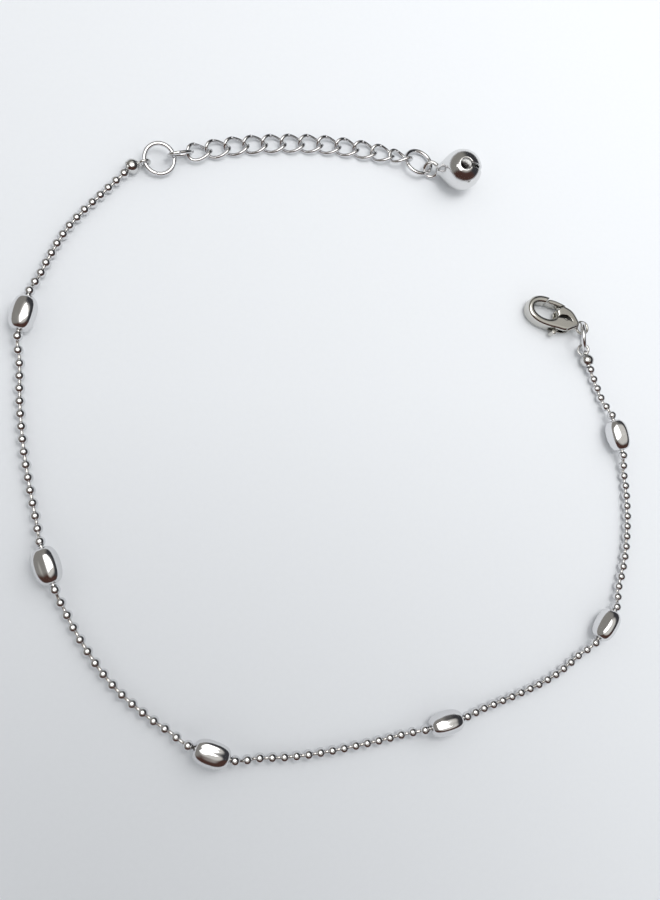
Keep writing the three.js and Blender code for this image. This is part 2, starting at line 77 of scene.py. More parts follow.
# The extension chain's route in plan, as steps from its first link.
EXTENSION_ROUTE = [(0, 0), (8.5, 2.7), (20.8, 4.5), (30.0, 4.4), (35.8, 3.7)]

# How the links lie: twist and roll in degrees, and the height of the link's middle.
PLAIN_LINK = (90, 0, 0.775)
LINK_COUNT = 13
ODD_LINKS = {
    0: (0, 110, 1.68),
    1: (90, -10, 1.09),
    2: (90, 0, 0.84),
    LINK_COUNT - 3: (90, 0, 0.79),
    LINK_COUNT - 2: (90, -8, 0.87),
    LINK_COUNT - 1: (90, -35, 1.18),
}

# How the rings, the bell and the clasp lie: headings, tilts and rolls in degrees, seats and lifts in
# millimetres.
CUP_TO_RING = 20.5
LARGE_RING_TILT = 16
LARGE_RING_SKEW = 0.02
LARGE_RING_LIFT = 0.3
FIRST_LINK_HEADING = 18
LAST_LINK_HEADING = -8
END_RING_HEADING = -31
END_RING_TILT = 14
END_RING_LIFT = 0.1
BELL_HEADING = -7.6
BELL_ROLL = 36
BELL_LOOP_BEYOND = 0.54
BELL_LOOP_ASIDE = 0.08
BELL_LOOP_HEIGHT = 0.8  # of the loop's radius
CLAPPER_LIFT = 0.35
RIGHT_HEADING = 108
RIGHT_ROLL = 48
RING_LEAN = 30
CLASP_RING_SEAT = (-0.55, -0.42)
TAIL_SEAT = (0.35, -0.35)
CLASP_HEADING = 160

MEETING_BEAD = 2  # the bead that the chain's two nodes meet in
MEETING_GAP = 0.3

# The clasp's outline: curves whose points are shares of its length and of its half width.
CLASP_START = (0.08, -0.2)
CLASP_OUTLINE = [
    ((0.14, -0.3), (0.2, -0.8), (0.34, -0.84)),
    ((0.48, -0.9), (0.52, -1.0), (0.68, -1.0)),
    ((0.88, -1.0), (1.0, -0.6), (1.0, 0.0)),
    ((1.0, 0.6), (0.88, 1.0), (0.68, 1.0)),
    ((0.52, 1.0), (0.48, 0.9), (0.34, 0.84)),
    ((0.2, 0.8), (0.14, 0.3), (0.08, 0.2)),
]


def size(name, description, millimetres):
    """A length that the panel shows, with its default in millimetres."""
    return FloatProperty(
        name=name, description=description, default=millimetres * MM, min=0, unit="LENGTH", precision=5
    )


def share(name, description, default):
    """A plain number from 0 to 1."""
    return FloatProperty(name=name, description=description, default=default, min=0, max=1, subtype="FACTOR")


def strength(name, description, default, unit="NONE"):
    """The strength of a light."""
    return FloatProperty(name=name, description=description, default=default, min=0, unit=unit)


def colour(name, description, default):
    """A colour that the panel shows."""
    return FloatVectorProperty(
        name=name, description=description, default=default, min=0, max=1, size=3, subtype="COLOR"
    )


class ANKLET_PG_chain(bpy.types.PropertyGroup):
    """Sizes of the ball chain, its oval beads and its end connectors."""

    length: size("Chain length", "Along the chain, from its first ball to its last", 212.5)
    ball: size("Ball", "Diameter of a small ball", 1.5)
    bar: size("Bar", "Diameter of the bar between two balls", 0.5)
    bead: size("Bead", "Diameter of an oval bead", 3.6)
    bead_length: size("Bead length", "Length of an oval bead", 5.2)
    bead_bore: size("Bead bore", "Hole through an oval bead", 0.9)
    bead_to_ball: size("Bead to ball", "Gap between a bead and the next ball", 0.12)
    cup_wall: size("Cup wall", "Wall of an end connector's cup", 0.16)
    cup_clearance: size("Cup clearance", "Room between the cup and the last ball", 0.2)
    loop_wire: size("Loop wire", "Wire of an end connector's loop", 0.46)
    loop_hole: size("Loop hole", "Hole of an end connector's loop", 1.2)
    seam: size("Ball seam", "Depth of the closed seam on each ball", 0.02)
    dents: size("Bead dents", "Depth of the slight dents in the beads", 0.075)


class ANKLET_PG_extension(bpy.types.PropertyGroup):
    """Sizes of the rings, the extension chain and the bell."""

    ring: size("Ring", "Outer diameter of a jump ring", 5.2)
    ring_wire: size("Ring wire", "Wire of a jump ring", 0.7)
    ring_play: size("Ring play", "Room between a ring and what it hangs in", 0.12)
    link_length: size("Link length", "Outer length of a curb link", 4.3)
    link_width: size("Link width", "Outer width of a curb link", 3.2)
    link_wire: size("Link wire", "Wire of a curb link", 0.56)
    link_play: size("Link play", "Room between two links", 0.15)
    cut: size("Wire cut", "Gap where a ring or link is closed", 0.05)
    bell: size("Bell", "Diameter of the bell", 6.5)
    bell_wall: size("Bell wall", "Wall of the bell", 0.45)
    bell_hole: size("Bell hole", "Round holes at the ends of the slot", 1.8)
    bell_slot: size("Bell slot", "Width of the bell's slot", 0.6)
    bell_loop: size("Bell loop", "Outer diameter of the bell's loop", 2.9)
    bell_loop_wire: size("Bell loop wire", "Thickness of the bell's loop", 0.62)
    bell_reach: size("Bell reach", "From the middle of the loop to the middle of the bell", 5.1)
    clapper: size("Clapper", "Diameter of the ball inside the bell", 2.0)


class ANKLET_PG_clasp(bpy.types.PropertyGroup):
    """Sizes of the lobster clasp."""

    length: size("Clasp length", "From the tail loop's middle to the nose", 10.5)
    width: size("Clasp width", "Width across the hook", 5.0)
    thickness: size("Clasp thickness", "Thickness of the body", 2.3)
    slot: size("Slot", "Slot between the two cheeks", 1.1)
    rounding: size("Rounding", "Radius of the cast edges", 0.55)
    gap: size("Gap", "Room around the lever", 0.15)
    pin: size("Pivot pin", "Diameter of the pivot pin", 0.7)
    hub_wall: size("Hub wall", "Wall of the lever around the pin", 0.5)
    recess: size("Gate recess", "Step from the body's face to the gate's face", 0.2)
    knob: size("Thumb knob", "Diameter of the thumb tab's end", 0.84)
    crescent: size("Crescent", "Radius of the crescent groove in the upper cheek", 1.64)
    crescent_slope: share("Crescent slope", "How steeply the crescent groove deepens", 0.8)
    tail_wire: size("Tail loop wire", "Thickness of the tail loop", 0.46)
    tail_hole: size("Tail loop hole", "Hole of the tail loop", 1.6)
    tail_height: size("Tail loop height", "Height of the tail loop's middle", 1.45)


class ANKLET_PG_finish(bpy.types.PropertyGroup):
    """Colours and wear of the metals, and the painted shade of the clasp's crescent groove."""

    chrome: colour("Chrome", "Colour of the polished plating", (0.80, 0.787, 0.765))
    nickel: colour("Nickel", "Colour of the satin castings", (0.78, 0.765, 0.735))
    tarnish: colour("Tarnish", "Colour of the dull film on the plating", (0.36, 0.33, 0.295))
    # Recess is painted shade: the dark colour painted into the clasp's crescent groove. Dull is its
    # roughness.
    recess: colour("Recess", "Colour of the blackened recess", (0.075, 0.07, 0.065))
    dull: share("Dull", "Roughness of the blackened recess", 0.45)
    polish: share("Polish", "Roughness of the polished plating", 0.06)
    satin: share("Satin", "Roughness of the castings", 0.2)
    film: share("Film", "How much of the plating the dull film covers", 0.25)
    scratches: share("Scratches", "Strength of the fine scratches", 0.12)


class ANKLET_PG_stage(bpy.types.PropertyGroup):
    """The floor and the light."""

    floor: colour("Floor", "Colour of the floor", (0.84, 0.855, 0.875))
    walls: colour("Walls", "Colour of the room that the metal mirrors", (0.27, 0.26, 0.24))
    fill: strength("Fill", "Light from all around", 0.8)
    key: strength("Key", "Power of the soft lamp", 0.13, "POWER")
    top: strength("Top", "Power of the soft lamp above", 0.28, "POWER")
    overhead: strength("Overhead panel", "Brightness of the panel that the metal mirrors", 2.2)
    lens: FloatProperty(
        name="Lens", description="Focal length of the camera", default=31.16, min=1, unit="CAMERA"
    )


SETTINGS = {
    "anklet_chain": ANKLET_PG_chain,
    "anklet_extension": ANKLET_PG_extension,
    "anklet_clasp": ANKLET_PG_clasp,
    "anklet_finish": ANKLET_PG_finish,
    "anklet_stage": ANKLET_PG_stage,
}


# Places


def smoothstep(x, low, high):
    t = min(max((x - low) / (high - low), 0.0), 1.0)
    return t * t * (3 - 2 * t)


def heading(angle, slope=0.0):
    """Unit vector at an angle in plan and a slope, both in degrees."""
    a, s = math.radians(angle), math.radians(slope)
    return Vector((math.cos(a) * math.cos(s), math.sin(a) * math.cos(s), math.sin(s)))


def basis(point, x, y, z):
    turn = Matrix((x, y, z)).transposed().to_4x4()
    turn.translation = point
    return turn


def frame_at(point, direction, roll=0.0):
    """A frame whose x axis points along direction, rolled about that axis by degrees."""
    x = direction.normalized()
    y = Z_AXIS.cross(x).normalized()
    return basis(point, x, y, x.cross(y)) @ Matrix.Rotation(math.radians(roll), 4, "X")


class PlanCurve:
    """A smooth curve in plan through chosen points, measured by the length along it."""

    DIVISIONS = 2000

    def __init__(self, points, scale=1.0):
        self.points = [np.array((x, y), float) * scale * MM for x, y in points]
        steps = [self.place(i / self.DIVISIONS) for i in range(self.DIVISIONS + 1)]
        spans = np.linalg.norm(np.diff(np.array(steps), axis=0), axis=1)
        self.lengths = [0.0, *np.cumsum(spans)]
        self.length = self.lengths[-1]

    def place(self, t):
        points, last = self.points, len(self.points) - 1
        i = min(int(t * last), last - 1)
        w = t * last - i
        p1, p2 = points[i], points[i + 1]
        p0 = points[i - 1] if i > 0 else 2 * p1 - p2
        p3 = points[i + 2] if i + 2 <= last else 2 * p2 - p1
        d0, d1, d2 = (math.sqrt(np.linalg.norm(b - a)) for a, b in ((p0, p1), (p1, p2), (p2, p3)))
        m1 = ((p1 - p0) / d0 - (p2 - p0) / (d0 + d1) + (p2 - p1) / d1) * d1
        m2 = ((p2 - p1) / d1 - (p3 - p1) / (d1 + d2) + (p3 - p2) / d2) * d1
        cubic = 2 * p1 - 2 * p2 + m1 + m2
        square = -3 * p1 + 3 * p2 - 2 * m1 - m2
        return p1 + m1 * w + square * w**2 + cubic * w**3

    def step_at(self, s):
        s = min(max(s, 0.0), self.length)
        i = min(max(bisect.bisect_right(self.lengths, s) - 1, 0), self.DIVISIONS - 1)
        span = self.lengths[i + 1] - self.lengths[i]
        return (i + (s - self.lengths[i]) / span) / self.DIVISIONS

    def at(self, s):
        return Vector((*self.place(self.step_at(s)), 0.0))

    def tangent(self, s):
        t = self.step_at(s)
        step = 1e-4
        ahead = self.place(min(t + step, 1.0)) - self.place(max(t - step, 0.0))
        return Vector((*ahead, 0.0)).normalized()


class Layout:
    """Where each piece lies, worked out from the sizes in the panel."""

    def __init__(self, scene):
        self.chain = scene.anklet_chain
        self.extension = scene.anklet_extension
        self.clasp = scene.anklet_clasp
        self.lay_chain()
        self.shift = Vector((0, 0, 0))
        middles = [sum(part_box(f"oval_bead_{i + 1}"), Vector()) / 2 for i in range(len(self.beads))]
        places = [self.chain_place(s) for s in self.beads]
        self.shift = sum(middles, Vector()) / len(middles) - sum(places, Vector()) / len(places)
        self.shift.z = 0
        self.lay_left()
        self.lay_right()

    def lay_chain(self):
        chain = self.chain
        points = [p for _, run in CHAIN_RUNS for p in run]
        self.route = PlanCurve(points, chain.length / PlanCurve(points).length)
        self.beads, count = [], 0
        for _, run in CHAIN_RUNS[:-1]:
            count += len(run)
            division = round(count / (len(points) - 1) * self.route.DIVISIONS)
            self.beads.append(self.route.lengths[division])
        ends = [0.0, *self.beads, self.route.length]
        clear = chain.bead_length / 2 + chain.bead_to_ball + chain.ball / 2
        self.balls = []
        for i, (bar, _) in enumerate(CHAIN_RUNS):
            first = ends[i] + (clear if i > 0 else 0)
            last = ends[i + 1] - (clear if i < len(CHAIN_RUNS) - 1 else 0)
            spaces = round((last - first) / (chain.ball + bar * MM))
            self.balls.append([first + (last - first) * k / spaces for k in range(spaces + 1)])

    @property
    def cup_radius(self):
        return self.chain.ball / 2 + self.chain.cup_clearance + self.chain.cup_wall

    @property
    def rise(self):
        """Length in which the chain climbs to a bead or a cup."""
        return 2 * self.chain.ball + 1 * MM

    def chain_height(self, s):
        ball = self.chain.ball / 2

        def climb(distance, flat, high):
            return (high - ball) * (1 - smoothstep(distance, flat, flat + self.rise))

        near = min(abs(s - bead) for bead in self.beads)
        end = min(s, self.route.length - s)
        to_bead = climb(near, self.chain.bead_length / 2, self.chain.bead / 2)
        return ball + to_bead + climb(end, 0, self.cup_radius)

    def chain_place(self, s):
        point = self.route.at(s)
        half = self.chain.bead_length / 2
        for bead in self.beads:
            curved = smoothstep(abs(s - bead), half, half + self.rise)
            if curved < 1:
                straight = self.route.at(bead) + self.route.tangent(bead) * (s - bead)
                point = point.lerp(straight, 1 - curved)
        point.z = self.chain_height(s)
        return point + self.shift

    def chain_frame(self, s):
        step = 0.05 * MM
        ahead = self.chain_place(min(s + step, self.route.length)) - self.chain_place(max(s - step, 0))
        return frame_at(self.chain_place(s), ahead)

    @property
    def loop_outer(self):
        return self.chain.loop_hole + 2 * self.chain.loop_wire

    @property
    def loop_at(self):
        return self.cup_radius + self.loop_outer / 2 - self.chain.loop_wire * 0.6

    @property
    def ring_radius(self):
        return (self.extension.ring - self.extension.ring_wire) / 2

    def lay_left(self):
        e = self.extension
        outward = heading(CUP_TO_RING)
        self.left_connector = frame_at(self.chain_place(0), outward)
        loop = self.left_connector @ Vector((self.loop_at, 0, 0))
        centre = loop + outward * (self.ring_radius + e.ring_play)
        centre.z = loop.z + LARGE_RING_LIFT * MM
        normal = Vector((LARGE_RING_SKEW, -math.sin(math.radians(LARGE_RING_TILT)), 1))
        self.large_ring = (centre, normal, heading(180 + CUP_TO_RING))

        half_length = (e.link_length - e.link_wire) / 2
        wires = (e.ring_wire + e.link_wire) / 2
        reach = self.ring_radius + half_length - wires - e.ring_play - e.link_play / 2
        first = centre + heading(FIRST_LINK_HEADING) * reach
        curve = PlanCurve(EXTENSION_ROUTE)
        pitch = e.link_length - 2 * e.link_wire - e.link_play
        self.links = []
        for i in range(LINK_COUNT):
            s = i * pitch
            place = first + curve.at(s) + curve.tangent(s) * max(s - curve.length, 0)
            place.z = ODD_LINKS.get(i, PLAIN_LINK)[2] * MM
            self.links.append(place)

        tilt = math.radians(END_RING_TILT)
        reach = half_length - wires - 2 * e.ring_play + self.ring_radius
        centre = self.links[-1] + heading(LAST_LINK_HEADING) * reach
        centre.z = e.ring_wire / 2 + self.ring_radius * math.sin(tilt) + END_RING_LIFT * MM
        normal = heading(END_RING_HEADING + 90) * math.sin(tilt) + Z_AXIS * math.cos(tilt)
        self.end_ring = (centre, normal, heading(180))

        hook = self.ring_radius - (e.bell_loop / 2 - e.bell_loop_wire) + e.ring_wire / 2 + e.ring_play
        loop = centre + heading(END_RING_HEADING) * (hook + BELL_LOOP_BEYOND * MM)
        loop.y += BELL_LOOP_ASIDE * MM
        loop.z = BELL_LOOP_HEIGHT * e.bell_loop / 2
        slope = math.degrees(math.asin((e.bell / 2 - loop.z) / e.bell_reach))
        direction = heading(BELL_HEADING, slope)
        self.bell = frame_at(loop + direction * e.bell_reach, direction, BELL_ROLL)
        seat = e.bell / 2 - e.bell_wall - e.clapper / 2 - CLAPPER_LIFT * MM
        self.clapper = self.bell.translation - Z_AXIS * seat

    def lay_right(self):
        e = self.extension
        end = self.chain_place(self.route.length)
        self.right_connector = frame_at(end, heading(RIGHT_HEADING), RIGHT_ROLL)
        loop = self.right_connector @ Vector((self.loop_at, 0, 0))
        centre = loop + Vector((*CLASP_RING_SEAT, 0)) * MM
        centre.y += self.ring_radius
        centre.z = self.ring_radius * math.cos(math.radians(RING_LEAN)) + e.ring_wire / 2
        self.clasp_ring = (centre, heading(0, RING_LEAN), heading(90))
        tail = centre + Vector((*TAIL_SEAT, 0)) * MM
        tail.y += self.ring_radius
        tail.z = 0
        self.clasp_frame = frame_at(tail, heading(CLASP_HEADING))


# Meshes


class Skin:
    """The vertices and faces that one piece is made of."""

    def __init__(self):
        self.points, self.faces = [], []

    def rows(self, rows, closed_round=True, closed_along=False):
        """Joins rows of points, each row one loop round the piece."""
        start, width = len(self.points), len(rows[0])
        for row in rows:
            self.points.extend(row)
        count = len(rows)
        for i in range(count if closed_along else count - 1):
            a, b = start + i * width, start + (i + 1) % count * width
            for j in range(width if closed_round else width - 1):
                k = (j + 1) % width
                self.faces.append((a + j, a + k, b + k, b + j))
        return start

    def cap(self, first, width, flip):
        ring = range(first, first + width)
        self.faces.append(tuple(reversed(ring)) if flip else tuple(ring))

    def turned(self, profile, matrix, angles, depth=None, closed=False):
        """A profile of (along, across) turned about the x axis of a frame."""
        rows = []
        for along, across in profile:
            row = []
            for angle in angles:
                r = across * (1 - (depth(along, angle) if depth else 0))
                row.append(matrix @ Vector((along, r * math.cos(angle), r * math.sin(angle))))
            rows.append(row)
        self.rows(rows, closed_along=closed)

    def swept(self, places, sides, radius, closed):
        """Round wire along places, each a point and two directions across the wire."""
        rows = []
        for point, out, up in places:
            turns = [2 * math.pi * j / sides for j in range(sides)]
            rows.append([point + (out * math.cos(a) + up * math.sin(a)) * radius for a in turns])
        first = self.rows(rows, closed_along=closed)
        if not closed:
            self.cap(first, sides, False)
            self.cap(first + (len(rows) - 1) * sides, sides, True)


def whole_turn(count):
    return [2 * math.pi * i / count for i in range(count)]


def carve(distance, low, high, pitch):
    """Points and quads of the surface where distance is 0, in a box, in millimetres.

    distance takes x, y and z, and is negative inside the metal.
    """
    axes = [np.arange(a, b + pitch, pitch) for a, b in zip(low, high)]
    x, y, z = (axis.reshape([-1 if k == i else 1 for k in range(3)]) for i, axis in enumerate(axes))
    value = np.broadcast_to(distance(x, y, z), [len(axis) for axis in axes])
    inside = value < 0
    cells = tuple(n - 1 for n in value.shape)
    total, hits = np.zeros((*cells, 3)), np.zeros(cells)
    crossings = []
    for axis in range(3):
        near = [slice(None)] * 3
        far = [slice(None)] * 3
        near[axis], far[axis] = slice(None, -1), slice(1, None)
        a, b = value[tuple(near)], value[tuple(far)]
        where = np.argwhere(inside[tuple(near)] != inside[tuple(far)])
        va, vb = a[tuple(where.T)], b[tuple(where.T)]
        spot = where.astype(float)
        spot[:, axis] += va / (va - vb)
        across = [k for k in range(3) if k != axis]
        around = []
        for du, dv in ((0, 0), (1, 0), (1, 1), (0, 1)):
            cell = where.copy()
            cell[:, across[0]] -= du
            cell[:, across[1]] -= dv
            around.append(cell)
        around = np.stack(around, 1)
        good = ((around >= 0) & (around < cells)).all((1, 2))
        around, spot, va = around[good], spot[good], va[good]
        for k in range(4):
            at = tuple(around[:, k].T)
            np.add.at(total, at, spot)
            np.add.at(hits, at, 1)
        flip = (va < 0) == (axis == 1)
        around[flip] = around[flip][:, ::-1]
        crossings.append(around)
    number = np.full(cells, -1)
    used = np.argwhere(hits > 0)
    number[tuple(used.T)] = np.arange(len(used))
    points = total[tuple(used.T)] / hits[tuple(used.T)][:, None] * pitch + np.array(low)
    quads = np.concatenate([number[tuple(np.moveaxis(c, -1, 0))] for c in crossings])
    step = pitch * 0.05
    for _ in range(3):
        x, y, z = points.T
        here = distance(x, y, z)
        slope = np.stack([
            distance(x + step, y, z) - distance(x - step, y, z),
            distance(x, y + step, z) - distance(x, y - step, z),
            distance(x, y, z + step) - distance(x, y, z - step),
        ], 1) / (2 * step)
        steep = np.maximum((slope**2).sum(1), 0.25)
        move = slope * (here / steep)[:, None]
        reach = np.maximum(np.linalg.norm(move, axis=1) / (0.5 * pitch), 1)
        points = points - move / reach[:, None]
    return points, quads


def joined(a, b, blend):
    """Union of two solids with a fillet of that size."""
    h = np.maximum(blend - np.abs(a - b), 0) / blend
    return np.minimum(a, b) - h * h * blend / 4


def cut_from(a, b, blend):
    """Solid a with b cut away, and the new edges rounded."""
    return -joined(-a, b, blend)


def polygon(x, y, corners):
    """Distance to a closed outline in plan."""
    best, sign = np.inf, 1.0
    for (ax, ay), (bx, by) in zip(corners, corners[1:] + corners[:1]):
        ex, ey = bx - ax, by - ay
        wx, wy = x - ax, y - ay
        t = np.clip((wx * ex + wy * ey) / (ex * ex + ey * ey), 0, 1)
        best = np.minimum(best, (wx - ex * t) ** 2 + (wy - ey * t) ** 2)
        up, down, left = y >= ay, y < by, ex * wy > ey * wx
        crosses = (up & down & left) | (~up & ~down & ~left)
        sign = np.where(crosses, -sign, sign)
    return sign * np.sqrt(best)


def slab(flat, z, bottom, top, rounding):
    """An outline's distance made into a plate with rounded edges."""
    side = flat + rounding
    face = np.abs(z - (bottom + top) / 2) - (top - bottom) / 2 + rounding
    outside = np.sqrt(np.maximum(side, 0) ** 2 + np.maximum(face, 0) ** 2)
    return np.minimum(np.maximum(side, face), 0) + outside - rounding


def torus(x, y, z, outer, wire):
    """A closed ring round the z axis."""
    return np.sqrt((np.sqrt(x * x + y * y) - (outer - wire) / 2) ** 2 + z * z) - wire / 2


def make_piece(name, points, faces, node, slot, body="root"):
    """Makes a mesh object that stands for a CAD node and rides on its body."""
    mesh = bpy.data.meshes.new(name)
    mesh.from_pydata(points, [], faces)
    mesh.validate()
    mesh.shade_smooth()
    mesh.materials.append(finish(slot))
    piece = bpy.data.objects.new(name, mesh)
    bpy.context.scene.collection.objects.link(piece)
    low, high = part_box(node)
    spots = np.array([v.co for v in mesh.vertices])
    away = Vector((spots.min(0) + spots.max(0)) / 2) - (low + high) / 2
    if away.length > PLACE_TOLERANCE * MM:
        raise RuntimeError(f"{name} lies {away / MM} mm away from {node}")
    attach(piece, body)
    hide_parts(node)
    return piece


def make_carved(name, distance, low, high, pitch, matrix, node, slot, body="root"):
    """A piece carved in millimetres in its own frame, set in place."""
    points, quads = carve(distance, low, high, pitch)
    turn = np.array(matrix.to_3x3())
    placed = points @ turn.T * MM + np.array(matrix.translation)
    return make_piece(name, placed.tolist(), quads.tolist(), node, slot, body)


# Finishes


def plug(tree, socket, value):
    """Links another node's output into a socket, or sets the socket's own value."""
    if isinstance(value, bpy.types.NodeSocket):
        tree.links.new(value, socket)
    else:
        socket.default_value = value


def add_node(tree, kind, *first, **values):
    """A node with its settings, its named inputs, and its first inputs in their order."""
    node = tree.nodes.new("ShaderNode" + kind)
    for key, value in values.items():
        if key in node.inputs:
            plug(tree, node.inputs[key], value)
        else:
            setattr(node, key, value)
    for socket, value in zip(node.inputs, first):
        plug(tree, socket, value)
    return node


def maths(tree, operation, *values):
    """A sum, product or the like of numbers."""
    return add_node(tree, "Math", *values, operation=operation).outputs[0]


def noise(tree, vector, scale, **values):
    """A noise pattern as a number."""
    return add_node(tree, "TexNoise", Vector=vector, Scale=scale, **values).outputs[0]


def fade(tree, value, start, end):
    """0 where the value is at start, 1 where it is at end, and smooth between them."""
    return add_node(tree, "MapRange", value, start, end, interpolation_type="SMOOTHSTEP").outputs[0]


def mixed(tree, factor, first, second):
    """A colour between two colours."""
    node = add_node(tree, "Mix", factor, data_type="RGBA")
    colours = [socket for socket in node.inputs if socket.type == "RGBA"]
    for socket, value in zip(colours, (first, second)):
        plug(tree, socket, value)
    return next(socket for socket in node.outputs if socket.type == "RGBA")


def group(name, inputs, outputs):
    """A new shader node group, its inputs named with their defaults, and its outputs with their kinds."""
    tree = bpy.data.node_groups.new(name, "ShaderNodeTree")
    for label, default in inputs.items():
        kind = {1: "Float", 3: "Vector", 4: "Color"}[np.size(default)]
        socket = tree.interface.new_socket(label, in_out="INPUT", socket_type="NodeSocket" + kind)
        socket.default_value = default
    for label, kind in outputs.items():
        tree.interface.new_socket(label, in_out="OUTPUT", socket_type="NodeSocket" + kind)
    return tree, tree.nodes.new("NodeGroupInput").outputs, tree.nodes.new("NodeGroupOutput").inputs


def scratch_group(name):
    """Fine scratches that run in all directions, as a height and a mask."""
    tree, source, result = group(
        name, {"Vector": (0, 0, 0), "Scale": 900.0, "Amount": 0.3}, {"Height": "Float", "Mask": "Float"}
    )
    total = 0.0
    for turn in ((0.2, 0.5, 0.3), (1.3, 0.2, 1.9), (2.2, 1.4, 0.8)):
        drawn_out = add_node(tree, "Mapping", Vector=source["Vector"], Rotation=turn, Scale=(1.0, 14.0, 14.0))
        streaks = noise(tree, drawn_out.outputs[0], source["Scale"], Detail=2.0, Roughness=0.6)
        lines = add_node(tree, "MapRange", streaks, 0.62, 0.8).outputs[0]
        total = maths(tree, "MAXIMUM", total, lines)
    mask = maths(tree, "MULTIPLY", total, source["Amount"])
    plug(tree, result["Height"], maths(tree, "MULTIPLY", mask, -1))
    plug(tree, result["Mask"], mask)


def film_group(name):
    """A thin dull film: patches of another colour and another roughness over the metal."""
    tree, source, result = group(
        name,
        {"Vector": (0, 0, 0), "Metal": (0.8, 0.8, 0.8, 1), "Film": (0.4, 0.4, 0.4, 1), "Cover": 0.3,
         "Scale": 500.0, "Roughness": 0.1, "Spread": 0.1, "Scratch": 0.0},
        {"Color": "Color", "Roughness": "Float"},
    )
    broad = noise(tree, source["Vector"], source["Scale"], Detail=4.0, Roughness=0.65)
    patches = fade(tree, broad, 0.45, 0.75)
    cover = maths(tree, "MULTIPLY", patches, source["Cover"])
    plug(tree, result["Color"], mixed(tree, cover, source["Metal"], source["Film"]))
    duller = maths(tree, "MULTIPLY_ADD", patches, source["Spread"], source["Roughness"])
    plug(tree, result["Roughness"], maths(tree, "MULTIPLY_ADD", source["Scratch"], 0.35, duller))


def waves_group(name):
    """Soft waves of a pressed or cast skin, as a height."""
    tree, source, result = group(
        name, {"Vector": (0, 0, 0), "Scale": 300.0, "Grain": 0.1}, {"Height": "Float"}
    )
    broad = noise(tree, source["Vector"], source["Scale"], Detail=1.0)
    fine = noise(tree, source["Vector"], maths(tree, "MULTIPLY", source["Scale"], 9), Detail=3.0)
    plug(tree, result["Height"], maths(tree, "MULTIPLY_ADD", fine, source["Grain"], broad))


SCRATCH_SCALE = 420
SCRATCH_STRENGTH = 0.35
SCRATCH_DEPTH = 2e-6
MICROMETRE = 1e-6
GROUPS = {"Fine Scratches": scratch_group, "Dull Film": film_group, "Soft Waves": waves_group}


def place_group(tree, name, **values):
    """Places a node group in a material, and builds the group on its first use."""
    if name not in bpy.data.node_groups:
        GROUPS[name](name)
    return add_node(tree, "Group", node_tree=bpy.data.node_groups[name], **values).outputs


# Each finish: the panel's colour and roughness, the waves' scale and depth in micrometres, their
# grain, its share of the panel's film, the scale of the film's patches, how much rougher they are,
# and its share of the panel's scratches.
FINISHES = {
    "polished_chain": dict(metal="chrome", rough="polish", waves=(420, 5), grain=0.02, film=0.6, patch=500,
                           spread=0.08, scratch=0.5),
    "chain_bars": dict(metal="chrome", rough="satin", waves=(900, 5), grain=0.2, film=1.2, patch=700,
                       spread=0.1, scratch=1.0),
    "polished_bead": dict(metal="chrome", rough="polish", waves=(330, 22), grain=0.04, film=0.8, patch=330,
                          spread=0.07, scratch=1.0),
    "plated_fitting": dict(metal="nickel", rough="satin", waves=(500, 14), grain=0.08, film=1.6, patch=600,
                           spread=0.12, scratch=1.0),
    "plated_wire": dict(metal="chrome", rough="polish", waves=(600, 12), grain=0.04, film=1.0, patch=450,
                        spread=0.1, scratch=1.0),
    "polished_bell": dict(metal="chrome", rough="polish", waves=(520, 40), grain=0.1, film=1.2, patch=420,
                          spread=0.05, scratch=1.0),
    "cast_clasp": dict(metal="nickel", rough="satin", waves=(340, 16), grain=0.06, film=1.1, patch=400,
                       spread=0.12, scratch=1.0),
    # Painted shade: this finish paints the clasp's crescent groove dark.
    "clasp_painted_shade": dict(metal="recess", rough="dull", waves=(340, 16), grain=0.2, film=0.4, patch=400,
                         spread=0.12, scratch=0.3),
}


def finish(name):
    """The material of that name, made on first use."""
    if name in bpy.data.materials:
        return bpy.data.materials[name]
    settings, values = bpy.context.scene.anklet_finish, FINISHES[name]
    material = bpy.data.materials.new(name)
    material.use_nodes = True
    tree = material.node_tree
    metal = (*getattr(settings, values["metal"]), 1)
    material.diffuse_color = metal
    place = add_node(tree, "TexCoord").outputs["Object"]
    scratches = place_group(
        tree, "Fine Scratches", Vector=place, Scale=SCRATCH_SCALE,
        Amount=settings.scratches * values["scratch"],
    )
    film = place_group(
        tree, "Dull Film", Vector=place, Metal=metal, Film=(*settings.tarnish, 1),
        Cover=settings.film * values["film"], Scale=values["patch"], Spread=values["spread"],
        Roughness=getattr(settings, values["rough"]), Scratch=scratches["Mask"],
    )
    scale, micrometres = values["waves"]
    waves = place_group(tree, "Soft Waves", Vector=place, Scale=scale, Grain=values["grain"])
    soft = add_node(tree, "Bump", Strength=1.0, Distance=micrometres * MICROMETRE, Height=waves["Height"])
    fine = add_node(
        tree, "Bump", Strength=SCRATCH_STRENGTH, Distance=SCRATCH_DEPTH, Height=scratches["Height"],
        Normal=soft.outputs["Normal"],
    )
    surface = {
        "Metallic": 1.0, "Specular IOR Level": 0.5, "Base Color": film["Color"],
        "Roughness": film["Roughness"], "Normal": fine.outputs["Normal"],
    }
    for key, value in surface.items():
        plug(tree, tree.nodes["Principled BSDF"].inputs[key], value)
    return material


# Operators


class Piece:
    """What every operator of this file shares."""

    bl_options = {"REGISTER", "UNDO"}


